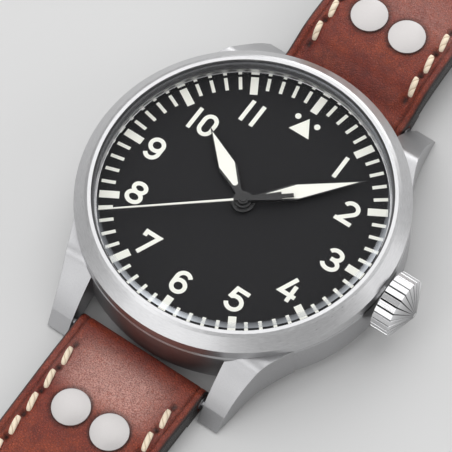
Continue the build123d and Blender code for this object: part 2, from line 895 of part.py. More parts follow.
def screw(place, length):
    """One bridge screw: a slotted head under the bridge and a shank up to the main plate."""
    head = disc(screw_head_radius, bridge_bottom - screw_head_height, bridge_bottom, place)
    slot = Pos(place[0], place[1], bridge_bottom - screw_head_height) * Box(
        2 * screw_head_radius, screw_slot_width, 2 * screw_slot_depth)
    return head - slot + disc(screw_shank_radius, bridge_bottom, bridge_bottom + length, place)


def movement_ring():
    """The holder ring between movement and case, with a lip over the main plate."""
    body = turned([
        (ring_inner, back_skirt_top),
        (ring_outer, back_skirt_top),
        (ring_outer, dial_underside),
        (ring_lip_inner, dial_underside),
        (ring_lip_inner, plate_top),
        (ring_inner, plate_top),
    ])
    return body - shaft(stem_hole_radius, plate_radius, case_bore + cut_overrun)


def save_plates():
    """Dial, plates, bridges, their screws and the holder ring."""
    save("dial", dial())
    save("main_plate", main_plate())
    save("train_bridge", train_bridge())
    save("balance_cock", balance_cock())
    save("pallet_bridge", pallet_bridge())
    save("movement_ring", movement_ring())
    length = plate_bottom - bridge_bottom
    screws = [screw(polar(bridge_screw_circle, angle), length) for angle in bridge_screw_angles]
    screws.append(screw(cock_screw_place, length))
    save("bridge_screws", Compound(screws))


# Going train

def mesh_turns():
    """The turn angle of each toothed wheel, so that every pair is in mesh at rest."""
    to_third = direction(centre_place, third_place)
    third_wheel_turn = meshed(0, fourth_leaves, third_teeth, to_third)
    third_upper_turn = meshed(0, driving_teeth, third_leaves, to_third)
    to_great = direction(third_place, great_place)
    great_turn = meshed(0, third_leaves, great_teeth, to_great)
    barrel_turn = meshed(0, great_leaves, barrel_teeth, direction(great_place, barrel_place))
    escape_turn = meshed(0, fourth_teeth, escape_leaves, escape_angle)
    minute_turn = meshed(0, cannon_leaves, minute_wheel_teeth, motion_angle)
    hour_turn = meshed(0, minute_wheel_leaves, hour_wheel_teeth, motion_angle + 180)
    return {
        "third": third_wheel_turn, "third_upper": third_upper_turn, "great": great_turn,
        "barrel": barrel_turn, "escape": escape_turn, "minute": minute_turn, "hour": hour_turn,
    }


def pitch_radii(distance, teeth, other_teeth):
    """The pitch radii of two meshing wheels, from the distance between their centres."""
    first = distance * teeth / (teeth + other_teeth)
    return first, distance - first


def save_train():
    """Wheels from the barrel to the escape wheel."""
    turns = mesh_turns()
    low = bridge_top - pivot_depth
    thick = wheel_thickness
    third_radius, fourth_pinion = pitch_radii(third_distance, third_teeth, fourth_leaves)
    driving_radius, third_upper = pitch_radii(third_distance, driving_teeth, third_leaves)
    great_radius, third_lower = pitch_radii(great_spacing, great_teeth, third_leaves)
    great_pinion = barrel_spacing - barrel_radius
    fourth_radius, escape_pinion = pitch_radii(escape_distance, fourth_teeth, escape_leaves)

    fourth = disc(pivot_radius, low, great_level)
    fourth += disc(arbor_radius, great_level, seconds_hand_height + hand_thickness)
    fourth += gear(fourth_leaves, fourth_pinion, third_level - pinion_overlap, fourth_level)
    fourth += gear(fourth_teeth, fourth_radius, fourth_level, fourth_level + thick)
    save("fourth_wheel", fourth)

    third = disc(pivot_radius, low, great_level - pinion_overlap, third_place)
    third += gear(third_leaves, third_lower, great_level - pinion_overlap, third_level, third_place)
    third += gear(third_teeth, third_radius, third_level, third_level + thick, third_place, turns["third"])
    third += disc(arbor_radius, third_level, driving_level, third_place)
    third += gear(third_leaves, third_upper, driving_level - pinion_overlap / 2,
                  driving_level + thick, third_place, turns["third_upper"])
    save("third_wheel", third)

    great = disc(pivot_radius, low, great_level, great_place)
    great += gear(great_teeth, great_radius, great_level, great_level + thick, great_place, turns["great"])
    great += disc(arbor_radius, great_level, plate_bottom, great_place)
    great += disc(pivot_radius, plate_bottom, plate_bottom + pivot_depth - arbor_top_gap, great_place)
    great += gear(great_leaves, great_pinion, barrel_flange_level - pinion_overlap,
                  barrel_flange_level + barrel_flange_height + pinion_overlap, great_place)
    save("great_wheel", great)

    escape = disc(pivot_radius, low, fourth_level - pinion_overlap, escape_place)
    escape += gear(escape_leaves, escape_pinion, fourth_level - pinion_overlap,
                   fourth_level + thick + pinion_overlap, escape_place, turns["escape"])
    escape += disc(arbor_radius, fourth_level + thick, plate_bottom - arbor_top_gap, escape_place)
    escape += disc(pivot_radius, plate_bottom - arbor_top_gap,
                   plate_bottom + pivot_depth - arbor_top_gap, escape_place)
    escape += club_wheel()
    save("escape_wheel", escape)

    drum = disc(barrel_drum_radius, barrel_flange_level, barrel_top, barrel_place)
    drum += gear(barrel_teeth, barrel_radius, barrel_flange_level,
                 barrel_flange_level + barrel_flange_height, barrel_place, turns["barrel"])
    drum -= disc(barrel_drum_radius - barrel_wall, barrel_flange_level + barrel_wall,
                 barrel_top - barrel_wall, barrel_place)
    drum -= disc(barrel_arbor_radius + pivot_clearance, barrel_flange_level, barrel_top, barrel_place)
    save("mainspring_barrel", drum)
    save("mainspring", spiral(barrel_arbor_radius + spring_ribbon + spring_edge_gap,
                              barrel_drum_radius - barrel_wall - spring_ribbon / 2 - spring_edge_gap,
                              spring_ribbon, spring_turns, spring_steps,
                              barrel_flange_level + barrel_wall + spring_edge_gap,
                              barrel_top - barrel_wall - spring_edge_gap, barrel_place))

    pipe_top = minute_hand_height + hand_thickness
    minute_radius, cannon_pinion = pitch_radii(motion_distance, minute_wheel_teeth, cannon_leaves)
    cannon = disc(cannon_radius, driving_level, pipe_top)
    cannon += gear(driving_teeth, driving_radius, driving_level, driving_level + thick)
    cannon += gear(cannon_leaves, cannon_pinion, cannon_teeth_level, hour_wheel_level - pinion_overlap)
    cannon -= disc(cannon_bore, driving_level, pipe_top)
    save("cannon_pinion", cannon)

    hour_radius, minute_pinion = pitch_radii(motion_distance, hour_wheel_teeth, minute_wheel_leaves)
    minute = gear(minute_wheel_teeth, minute_radius, minute_wheel_level,
                  minute_wheel_level + thick, motion_place, turns["minute"])
    minute += gear(minute_wheel_leaves, minute_pinion, minute_wheel_level + thick,
                   hour_wheel_level + thick, motion_place)
    minute -= disc(motion_post_radius + pivot_clearance, minute_wheel_level,
                   hour_wheel_level + thick, motion_place)
    save("minute_wheel", minute)

    hour = gear(hour_wheel_teeth, hour_radius, hour_wheel_level, hour_wheel_level + thick, turn=turns["hour"])
    hour += disc(hour_pipe_radius, hour_wheel_level, hour_hand_height + hand_thickness)
    hour -= disc(hour_pipe_bore, hour_wheel_level, hour_hand_height + hand_thickness)
    save("hour_wheel", hour)


def club_wheel():
    """The escape wheel's rim of slanted teeth on four arms."""
    step = 360 / escape_teeth
    root = escape_radius - escape_tooth_height
    points = []
    for index in range(escape_teeth):
        angle = index * step
        points.append(polar(root, angle))
        points.append(polar(escape_radius, angle + step * tooth_width_share))
        points.append(polar(root, angle + step * tooth_width_share))
    rim = make_face(Polyline(*points, close=True)) - Circle(root - escape_tooth_height)
    arms = Rectangle(2 * root - escape_tooth_height, escape_tooth_height)
    face = rim + arms + Rot(0, 0, 90) * arms
    return extrude(Plane.XY.offset(escape_level) * Pos(*escape_place) * face, wheel_thickness)


def pallet_fork():
    """The pallet fork: a lever, two arms and two stones on one arbor."""
    ahead = direction(escape_place, balance_place)
    lever = spacing(fork_place, balance_place) - impulse_pin_circle - impulse_pin_radius - fork_end_gap
    half = fork_arm_width / 2
    body = Circle(fork_body_radius)
    body += make_face(Polyline((0, -half), (lever, -half / 2), (lever, half / 2), (0, half), close=True))
    body += Rectangle(fork_arm_width, 2 * fork_arm_reach)
    for side in (-1, 1):
        body += Pos(-stone_length / 2, side * (fork_arm_reach - half)) * Rectangle(stone_length, fork_arm_width)
    fork = extrude(Plane.XY.offset(fork_level) * Pos(*fork_place) * Rot(0, 0, ahead) * body, wheel_thickness)
    low = pallet_bridge_level
    fork += disc(pivot_radius, low, plate_bottom + pivot_depth - arbor_top_gap, fork_place)
    return fork


def balance_wheel():
    """The balance: rim, arm, staff, roller and impulse pin."""
    high = balance_level + balance_height
    body = ring(balance_outer, balance_inner, balance_level, high, balance_place)
    body += extrude(Plane.XY.offset(balance_level) * Pos(*balance_place)
                    * Rectangle(2 * balance_inner + balance_arm_width, balance_arm_width), balance_height)
    body += disc(pivot_radius, staff_bottom, staff_top, balance_place)
    body += disc(hairspring_inner, hairspring_level, roller_level, balance_place)
    body += disc(roller_radius, roller_level - roller_thickness, roller_level, balance_place)
    toward = direction(balance_place, fork_place)
    offset = polar(impulse_pin_circle, toward)
    pin_place = (balance_place[0] + offset[0], balance_place[1] + offset[1])
    body += disc(impulse_pin_radius, roller_level - roller_thickness, fork_level + wheel_thickness, pin_place)
    return body


def save_escapement():
    """Pallet fork, balance and hairspring."""
    save("pallet_fork", pallet_fork())
    save("balance_wheel", balance_wheel())
    save("hairspring", spiral(hairspring_inner + hairspring_ribbon / 2, hairspring_outer,
                              hairspring_ribbon, hairspring_turns, hairspring_steps,
                              hairspring_level, hairspring_level + hairspring_height, balance_place))


# Winding and setting work

groove_centre = (stem_groove_start + stem_groove_end) / 2
lever_swing = 2 * asin(crown_travel / 2 / lever_arm)
lever_place = (groove_centre + crown_travel / 2, lever_arm * cos(lever_swing / 2))
clutch_groove_centre = (clutch_groove_start + clutch_groove_end) / 2
yoke_swing = 2 * asin(clutch_travel / 2 / yoke_arm)
yoke_tip_reach = clutch_groove_radius + yoke_tip_gap
yoke_place = (clutch_groove_centre - clutch_travel / 2, -yoke_tip_reach - yoke_arm * cos(yoke_swing / 2))
lever_sweep = crown_travel / 2 + lever_width / 2 + recess_margin
lever_recess_span = (lever_place[0] - lever_sweep, lever_place[0] + lever_sweep)
lever_recess_reach = lever_place[1] + recess_margin
yoke_sweep = clutch_travel / 2 + yoke_width / 2 + recess_margin
yoke_recess_span = (yoke_place[0] - yoke_sweep, yoke_place[0] + yoke_sweep)
yoke_recess_reach = recess_margin - yoke_place[1]


def winding_stem():
    """The stem: pilot, lever groove between two collars, square for the clutch, and round shank."""
    body = shaft(stem_pilot_radius, stem_pilot_start, stem_collar_start)
    body += shaft(stem_radius, stem_collar_start, stem_groove_start)
    body += shaft(stem_groove_radius, stem_groove_start, stem_groove_end)
    body += shaft(stem_radius, stem_groove_end, stem_square_start)
    body += extrude(Plane.YZ.offset(stem_square_start) * Pos(0, stem_height)
                    * Rectangle(stem_square, stem_square), stem_round_start - stem_square_start)
    return body + shaft(stem_radius, stem_round_start, stem_end)


def winding_pinion():
    """The winding pinion, free on the stem's shank."""
    module = 2 * pinion_radius / pinion_teeth
    pitch = pinion_radius - module * tooth_height_share
    wheel = gear(pinion_teeth, pitch, pinion_start, pinion_end)
    wheel -= disc(pinion_bore, pinion_start, pinion_end)
    return Pos(0, 0, stem_height) * Rot(0, 90, 0) * wheel


def sliding_clutch():
    """The sliding clutch, with a square bore and a groove for the yoke."""
    body = shaft(clutch_radius, clutch_start, clutch_end)
    body -= shaft(clutch_radius, clutch_groove_start, clutch_groove_end) - shaft(
        clutch_groove_radius, clutch_groove_start, clutch_groove_end)
    return body - extrude(Plane.YZ.offset(clutch_start) * Pos(0, stem_height)
                          * Rectangle(clutch_bore, clutch_bore), clutch_end - clutch_start)


def setting_lever():
    """The setting lever: a flat arm whose pin sits in the stem's groove."""
    low = stem_height + stem_radius + lever_gap
    pin = (groove_centre, 0)
    angle = direction(lever_place, pin)
    reach = spacing(lever_place, pin)
    arm = Pos(reach / 2, 0) * Rectangle(reach, lever_width) + Circle(lever_width / 2)
    body = extrude(Plane.XY.offset(low) * Pos(*lever_place) * Rot(0, 0, angle) * arm, lever_thickness)
    body += disc(lever_width / 2, low, low + lever_thickness, pin)
    body += disc(lever_pin_radius, low - lever_pin_depth, low, pin)
    floor = lever_recess_floor - pivot_depth + arbor_top_gap
    return body + disc(motion_post_radius, floor, low, lever_place)


def clutch_yoke():
    """The yoke: a tapered arm whose narrow tip sits in the clutch's groove."""
    low = stem_height - yoke_thickness / 2
    tip = (clutch_groove_centre, -yoke_tip_reach)
    angle = direction(yoke_place, tip)
    reach = spacing(yoke_place, tip)
    root = yoke_width / 2
    point = yoke_tip_width / 2
    neck = reach - yoke_tip_length
    arm = make_face(Polyline((0, -root), (neck, -point), (reach, -point), (reach, point),
                             (neck, point), (0, root), close=True)) + Circle(root)
    body = extrude(Plane.XY.offset(low) * Pos(*yoke_place) * Rot(0, 0, angle) * arm, yoke_thickness)
    floor = yoke_recess_floor - pivot_depth + arbor_top_gap
    return body + disc(motion_post_radius, floor, low, yoke_place)


def save_winding():
    """Stem, pinion, clutch, levers and the wheels that wind the barrel."""
    save("winding_stem", winding_stem())
    save("winding_pinion", winding_pinion())
    save("sliding_clutch", sliding_clutch())
    save("setting_lever", setting_lever())
    save("clutch_yoke", clutch_yoke())

    high = ratchet_level + ratchet_thickness
    winder = gear(crown_wheel_teeth, crown_wheel_radius, crown_wheel_level,
                  crown_wheel_level + crown_wheel_thickness, crown_wheel_place)
    winder += disc(arbor_radius, ratchet_level, crown_wheel_level, crown_wheel_place)
    winder += disc(pivot_radius, crown_wheel_level, channel_floor_outer - arbor_top_gap, crown_wheel_place)
    winder += gear(winding_leaves, winding_radius, ratchet_level, high, crown_wheel_place)
    save("crown_wheel", winder)

    idler_turn = meshed(0, winding_leaves, winding_wheel_teeth,
                        direction(crown_wheel_place, winding_wheel_place))
    idler = gear(winding_wheel_teeth, winding_wheel_radius, ratchet_level, high,
                 winding_wheel_place, idler_turn)
    idler += disc(arbor_radius, ratchet_level, bridge_top, winding_wheel_place)
    save("winding_wheel", idler)

    ratchet_turn = meshed(idler_turn, winding_wheel_teeth, ratchet_teeth,
                          direction(winding_wheel_place, barrel_place))
    ratchet = gear(ratchet_teeth, ratchet_radius, ratchet_level, high, barrel_place, ratchet_turn)
    ratchet += disc(barrel_arbor_radius, ratchet_level, barrel_top + pivot_depth - arbor_top_gap, barrel_place)
    save("ratchet_wheel", ratchet)


# Rotor

def rotor():
    """The half-round winding weight on its bearing, with a heavy rim and two windows."""
    top = rotor_plate_bottom + rotor_plate_thickness
    half = block((-rotor_outer, -rotor_outer, rotor_plate_bottom),
                 (rotor_outer, 0, rotor_weight_top))
    body = disc(rotor_outer, rotor_plate_bottom, top) & half
    body += ring(rotor_outer, rotor_weight_inner, rotor_plate_bottom, rotor_weight_top) & half
    for angle in rotor_window_angles:
        body -= disc(rotor_window_radius, rotor_plate_bottom, top, polar(rotor_window_reach, angle))
    body += disc(rotor_hub_radius, rotor_plate_bottom, top)
    return body - disc(rotor_bore, rotor_plate_bottom, top)


def rotor_bearing():
    """The bearing post that carries the rotor between a flange and a collar."""
    low = rotor_plate_bottom - rotor_clearance
    high = rotor_plate_bottom + rotor_plate_thickness + rotor_clearance
    body = disc(rotor_flange_radius, low - rotor_flange_thickness, low)
    body += disc(rotor_bore - rotor_clearance, low, high)
    return body + disc(rotor_flange_radius, high, bridge_bottom)


# Crown

def crown_section(share):
    """The crown's outline across its axis: flat lands with narrow grooves."""
    step = 360 / crown_flutes
    points = []
    for index in range(crown_flutes):
        middle = index * step
        points.append(polar(share * crown_radius, middle - crown_land_share * step))
        points.append(polar(share * crown_radius, middle + crown_land_share * step))
        points.append(polar(share * (crown_radius - crown_groove_depth), middle + step / 2))
    return make_face(Polyline(*points, close=True))


def crown():
    """The fluted crown with its pointed cap, bored for the tube and the stem."""
    base = Plane.YZ.offset(crown_start) * Pos(0, stem_height) * crown_section(1)
    body = extrude(base, crown_shoulder - crown_start)
    shoulder = Plane.YZ.offset(crown_shoulder) * Pos(0, stem_height) * crown_section(1)
    tip = Plane.YZ.offset(crown_tip) * Pos(0, stem_height) * crown_section(crown_tip_share)
    body += loft([shoulder, tip], ruled=True)
    body -= shaft(crown_bore, crown_start, crown_bore_end)
    return body - shaft(stem_radius, crown_bore_end, stem_end)


def save_crown():
    """Crown, its seal and the rotor."""
    save("crown", crown())
    end = crown_gasket_start + crown_gasket_width
    save("crown_gasket", shaft(crown_bore, crown_gasket_start, end)
         - shaft(tube_radius + crown_gasket_gap, crown_gasket_start, end))
    save("rotor", rotor())
    save("rotor_bearing", rotor_bearing())


# Hands

def hand_outline(length, width, root, neck, inset):
    """A lozenge hand along +Y: rounded at its root, widest at its waist, pointed at its tip."""
    half = width / 2 - inset
    narrow = neck / 2
    start = root + inset
    waist = root + (length - root) * hand_waist_share
    tip = length - inset * length / width
    sides = Line((narrow, start), (half, waist)) + Line((half, waist), (0, tip))
    sides += Line((0, tip), (-half, waist)) + Line((-half, waist), (-narrow, start))
    sides += ThreePointArc((-narrow, start), (0, start - narrow), (narrow, start))
    return make_face(sides)


def lozenge_hand(length, width, hub, bore, height, angle):
    """A hand's frame and the luminous fill of its window."""
    neck = hand_neck_width
    fill = hand_outline(length, width, hand_root_reach + neck, neck, hand_frame_width)
    frame = hand_outline(length, width, hand_root_reach, neck + hand_frame_width, 0)
    frame += Pos(0, hand_root_reach / 2) * Rectangle(neck + hand_frame_width, hand_root_reach)
    frame += Circle(hub)
    frame -= Circle(bore)
    frame -= fill
    place = Plane.XY.offset(height) * Rot(0, 0, -angle)
    return extrude(place * frame, hand_thickness), extrude(place * fill, hand_thickness)


def seconds_hand():
    """The seconds hand: a thin pointer, a boss and a stepped tail."""
    root = seconds_hub_radius / 2
    pointer = make_face(Polyline(
        (-seconds_width / 2, root), (seconds_width / 2, root),
        (seconds_tip_width / 2, seconds_hand_length), (-seconds_tip_width / 2, seconds_hand_length),
        close=True))
    tail = make_face(Polyline(
        (-tail_root_width / 2, -root), (tail_root_width / 2, -root),
        (tail_shoulder_width / 2, -tail_shoulder), (tail_bar_width / 2, -tail_shoulder),
        (tail_bar_width / 2, -tail_length), (-tail_bar_width / 2, -tail_length),
        (-tail_bar_width / 2, -tail_shoulder), (-tail_shoulder_width / 2, -tail_shoulder),
        close=True))
    face = pointer + tail + Circle(seconds_hub_radius) - Circle(arbor_radius)
    place = Plane.XY.offset(seconds_hand_height) * Rot(0, 0, -seconds_angle)
    body = extrude(place * face, hand_thickness)
    top = seconds_hand_height + hand_thickness
    return body + disc(seconds_hub_radius / 2 + arbor_radius / 2, top, top + seconds_boss_height)


def save_hands():
    """Hour, minute and seconds hands."""
    frame, fill = lozenge_hand(hour_hand_length, hour_hand_width, hour_hub_radius,
                               hour_pipe_radius, hour_hand_height, hour_angle)
    save("hour_hand", frame)
    save("hour_hand_lume", fill)
    frame, fill = lozenge_hand(minute_hand_length, minute_hand_width, minute_hub_radius,
                               cannon_radius, minute_hand_height, minute_angle)
    save("minute_hand", frame)
    save("minute_hand_lume", fill)
    save("seconds_hand", seconds_hand())


# Strap

def across(face, width):
    """Extrude a side outline, drawn in Y and Z, evenly to both sides of the middle."""
    return extrude(Plane.YZ * face, width / 2, both=True)


def spring_bar(reach, height, radius, tube_half, pin_half):
    """A spring bar along X: a tube with a thinner pin at each end."""
    place = Plane.YZ * Pos(reach, height)
    body = extrude(place * Circle(radius), tube_half, both=True)
    return body + extrude(place * Circle(bar_pin_radius), pin_half, both=True)


def plan_trim(length, tip_length):
    """The strap's plan: a taper, then parallel sides, with a pointed tip when it has one."""
    start = bar_reach - strap_roll_radius - cut_overrun
    taper_end = bar_reach + strap_taper_length
    wide = strap_width / 2
    narrow = strap_end_width / 2
    end = bar_reach + length
    if tip_length:
        shoulder = end - tip_length
        belly = (narrow * strap_tip_width_share, end - tip_length * strap_tip_reach_share)
        close = ThreePointArc((narrow, shoulder), belly, (0, end))
    else:
        shoulder = end + strap_roll_radius + cut_overrun
        close = Line((narrow, shoulder), (0, shoulder))
    side = Polyline((0, start), (wide, start), (wide, bar_reach), (narrow, taper_end), (narrow, shoulder))
    half = side + close
    return extrude(make_face(half + mirror(half, about=Plane.YZ)), crystal_top)


def strap_faces(unders, thicks):
    """Side outlines of the leather and its lining; the last run between stations is straight."""
    roll = strap_roll_radius
    tops = [under + thick for (along, under), thick in zip(unders, thicks)]
    low = [(bar_reach + along, under) for along, under in unders]
    high = [(bar_reach + along, top) for (along, under), top in zip(unders, tops)]
    first_low = (bar_reach, bar_height - roll)
    first_high = (bar_reach, bar_height + roll)
    front_share = strap_lining_start / unders[0][0]
    front = (bar_reach + strap_lining_start, first_low[1] + (low[0][1] - first_low[1]) * front_share)
    bottom = [front] + low
    seam = [(reach, height + strap_lining) for reach, height in bottom]

    def run(points, start_slope):
        slope = (points[-1][0] - points[-2][0], points[-1][1] - points[-2][1])
        return Spline(*points[:-1], tangents=[start_slope, slope]) + Line(points[-2], points[-1])

    lining_slope = (front[0] - first_low[0], front[1] - first_low[1])
    level = (roll, 0)
    lining = run(bottom, lining_slope) + run(seam, lining_slope)
    lining += Line(bottom[0], seam[0]) + Line(bottom[-1], seam[-1])
    leather = ThreePointArc(first_low, (bar_reach - roll, bar_height), first_high)
    leather += run([first_high] + high, level) + Line(high[-1], seam[-1])
    leather += run(seam, lining_slope) + Line(seam[0], front) + Line(front, first_low)
    return make_face(leather), make_face(lining)


def rivet(reach, offset, top, under):
    """One rivet: a domed head, a shank through both leathers and a cap flush underneath."""
    low = top - rivet_head_sink
    crest = top + rivet_head_height
    rise = crest - low - rivet_head_edge
    ball = (rivet_head_radius**2 + rise**2) / (2 * rise)
    place = (offset, reach)
    body = disc(rivet_head_radius, low, crest, place) & (Pos(offset, reach, crest - ball) * Sphere(ball))
    body += disc(rivet_shank_radius, under, low + rivet_head_edge, place)
    return body + disc(rivet_cap_radius, under, under + rivet_cap_height, place)


def height_at(stations, along):
    """The height between two stations of a table, at a distance along the strap."""
    for (before, low), (after, high) in zip(stations, stations[1:]):
        if along <= after:
            return low + (high - low) * (along - before) / (after - before)
    return stations[-1][1]


def save_long_half():
    """The 6 o'clock half: leather, lining and rivets, with adjusting holes and a pointed tip."""
    unders = [(share * strap_long_length, strap_underside) for share, depth in strap_long_shares]
    thicks = [depth * strap_pad_thickness for share, depth in strap_long_shares]
    leather_face, lining_face = strap_faces(unders, thicks)
    plan = plan_trim(strap_long_length, strap_tip_length)
    leather = across(leather_face, strap_width) & plan
    lining = across(lining_face, strap_width) & plan
    bore = across(Pos(bar_reach, bar_height) * Circle(bar_radius + strap_bore_clearance), strap_width)
    leather -= bore
    for index in range(strap_hole_count):
        along = bar_reach + strap_long_length - strap_hole_first + strap_hole_pitch * index
        hole = disc(strap_hole_radius, -cut_overrun, crystal_top, (0, along))
        leather -= hole
        lining -= hole
    along = rivet_reach - bar_reach
    top = strap_underside + height_at(list(zip([a for a, u in unders], thicks)), along)
    rivets = [rivet(rivet_reach, side * rivet_offset, top, strap_underside) for side in (-1, 1)]
    for piece in rivets:
        leather -= piece
        lining -= piece
    turn = Rot(0, 0, 180)
    save("strap_6_leather", turn * leather)
    save("strap_6_lining", turn * lining)
    save("strap_6_rivets", turn * Compound(rivets))


def save_short_half():
    """The 12 o'clock half: an arched half with the buckle's bar, rivets and fixed keeper."""
    unders = [(share * strap_short_length, rise * strap_arch_height)
              for share, rise in strap_arch_shares]
    thicks = [share * strap_short_thickness for share in strap_short_shares]
    end_under = unders[-1][1]
    end_thick = thicks[-1]
    unders.append((strap_short_length, end_under))
    thicks.append(end_thick)
    leather_face, lining_face = strap_faces(unders, thicks)
    reach = bar_reach + strap_short_length
    axis = end_under + end_thick / 2
    plan = plan_trim(strap_short_length, 0)
    roll = across(Pos(reach, axis) * Circle(end_thick / 2), strap_width)
    lining = across(lining_face, strap_width)
    leather = (across(leather_face, strap_width) + roll) & plan
    lining = lining & plan
    slot = block((-strap_slot_width / 2, reach - strap_slot_depth, 0),
                 (strap_slot_width / 2, reach + end_thick, crystal_top))
    tunnel = across(Pos(reach, axis) * Circle(buckle_bar_radius + strap_bore_clearance), strap_width)
    bore = across(Pos(bar_reach, bar_height) * Circle(bar_radius + strap_bore_clearance), strap_width)
    leather = leather - bore - tunnel - slot - lining
    lining = lining - tunnel - slot
    along = rivet_reach - bar_reach
    under = height_at(unders, along)
    top = under + height_at(list(zip([a for a, u in unders], thicks)), along)
    rivets = [rivet(rivet_reach, side * rivet_offset, top, under) for side in (-1, 1)]
    for piece in rivets:
        leather -= piece
        lining -= piece
    save("strap_12_leather", leather)
    save("strap_12_lining", lining)
    save("strap_12_rivets", Compound(rivets))
    save_keepers(reach, end_under, end_thick)
    save_buckle(reach, axis)


def keeper(middle, inner_low, inner_high):
    """A keeper loop around the strap, open along Y."""
    half = strap_end_width / 2 + keeper_side_gap
    for_height = inner_high - inner_low
    outer = RectangleRounded(2 * half + 2 * keeper_wall, for_height + 2 * keeper_wall,
                             keeper_wall + keeper_round)
    inner = RectangleRounded(2 * half, for_height, keeper_round)
    place = Plane.XZ.offset(-middle) * Pos(0, (inner_low + inner_high) / 2)
    return extrude(place * (outer - inner), keeper_width / 2, both=True)


def save_keepers(reach, under, thick):
    """The keeper sewn to the strap and the one that slides along it."""
    top = under + thick + keeper_headroom
    save("fixed_keeper", keeper(reach - fixed_keeper_setback, under, top))
    save("sliding_keeper", keeper(reach - sliding_keeper_setback, under - keeper_lift_gap, top))


def save_buckle(reach, axis):
    """Buckle frame, its bar and its tongue, drawn level and then tilted down to the ground."""
    half_thick = buckle_thickness / 2
    far = buckle_reach + buckle_end_width
    tilt = degrees(asin((axis - half_thick) / far))
    outer_half = buckle_opening_half + buckle_arm_width
    outer = Pos(0, (far - buckle_back) / 2) * RectangleRounded(
        2 * outer_half, far + buckle_back, buckle_corner)
    opening = Pos(0, (buckle_reach - buckle_corner - buckle_back) / 2) * RectangleRounded(
        2 * buckle_opening_half, buckle_reach + buckle_corner + buckle_back, buckle_inner_corner)
    square_back = Rectangle(2 * outer_half, 2 * buckle_back)
    frame = extrude(outer + square_back - opening, half_thick, both=True)
    hole = bar_pin_radius + bar_hole_clearance
    drill = extrude(Plane.YZ * Circle(hole), buckle_opening_half + buckle_hole_depth, both=True)
    frame -= drill
    loop = Circle(tongue_loop_radius) - Circle(tongue_bore)
    tip = far + tongue_tip_overhang
    rest = half_thick + tongue_rest_gap
    blade = make_face(Polyline(
        (0, tongue_loop_radius - tongue_thickness), (buckle_reach, rest), (tip, rest),
        (tip, rest + tongue_tip_thickness), (buckle_reach, rest + tongue_tip_thickness),
        (0, tongue_loop_radius), close=True)) - Circle(tongue_bore)
    tongue = extrude(Plane.YZ * (loop + blade), tongue_width / 2, both=True)
    place = Pos(0, reach, axis) * Rot(-tilt, 0, 0)
    save("buckle_frame", place * frame)
    save("buckle_tongue", place * tongue)
    save("buckle_bar", spring_bar(reach, axis, buckle_bar_radius,
                                  buckle_opening_half - strap_bore_clearance,
                                  buckle_opening_half + buckle_hole_depth - strap_bore_clearance))
    print("buckle bar", reach, axis, "tilt", tilt)


def save_strap():
    """Spring bars and both strap halves."""
    for name, side in (("spring_bar_6", -1), ("spring_bar_12", 1)):
        save(name, spring_bar(side * bar_reach, bar_height, bar_radius, bar_tube_half, bar_pin_half))
    save_long_half()
    save_short_half()


save_case()
save_plates()
save_train()
save_escapement()
save_winding()
save_crown()
save_hands()
save_strap()

print("third", third_place, "great", great_place, "barrel", barrel_place)
print("escape", escape_place, "fork", fork_place, "winding wheel", winding_wheel_place)
print("lever", lever_place, degrees(lever_swing), "yoke", yoke_place, degrees(yoke_swing))
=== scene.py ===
from math import cos, pi, radians, sin

import bmesh
import bpy
import numpy as np
from mathutils import Matrix, Vector


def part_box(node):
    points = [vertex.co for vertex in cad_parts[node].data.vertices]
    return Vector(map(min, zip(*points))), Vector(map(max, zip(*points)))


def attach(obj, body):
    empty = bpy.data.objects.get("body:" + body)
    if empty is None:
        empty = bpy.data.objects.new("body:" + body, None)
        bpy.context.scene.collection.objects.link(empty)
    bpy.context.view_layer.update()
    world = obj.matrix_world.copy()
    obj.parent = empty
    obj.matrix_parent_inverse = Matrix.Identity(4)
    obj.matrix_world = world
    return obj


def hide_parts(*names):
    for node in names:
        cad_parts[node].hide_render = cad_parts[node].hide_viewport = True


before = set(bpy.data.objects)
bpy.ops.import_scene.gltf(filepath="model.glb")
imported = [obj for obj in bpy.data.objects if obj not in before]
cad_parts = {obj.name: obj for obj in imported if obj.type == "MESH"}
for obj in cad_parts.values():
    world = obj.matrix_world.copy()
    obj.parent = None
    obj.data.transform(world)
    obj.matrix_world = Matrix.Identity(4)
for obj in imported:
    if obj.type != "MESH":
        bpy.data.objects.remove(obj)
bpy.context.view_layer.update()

# Lengths are millimetres, but metres in shaders, and in the studio where its comment says so
MM = 0.001

# Case, dial and crown
dial_top = 8.25
print_sink = 0.02
print_height = 0.03
print_step = 0.008
crown_height = 6.45
crown_radius = 3.95
crown_shoulder = 24.0
crown_tip = 25.5
crown_tip_share = 0.12
crown_groove_share = 0.925
crown_plain_shares = (0.6, 0.8)
crown_full_shares = (0.99, 1.1)
bevel_start = 17.82
bevel_line = 0.02
bevel_end = 18.42
glass_skin = 0.36
glass_skin_line = 0.01
glass_roughness = (0.02, 0.3)
face_mirror = (0.0015, 0.8)
face_mirror_power = 5.0
bevel_mirror = (0.2, 0.65)
bevel_smears = (-0.05, 0.05)
# Painted highlight on the crystal's bevel, stronger towards the side by 5 o'clock
bevel_highlight_side = (0.0326, -0.0435, 0.0)
bevel_highlight_run = (-0.0002, 0.0006)
bevel_highlight_shares = (0.12, 1.0)
seconds_rest = 231.0
seconds_white_start = 1.18
seconds_white_full = 1.22

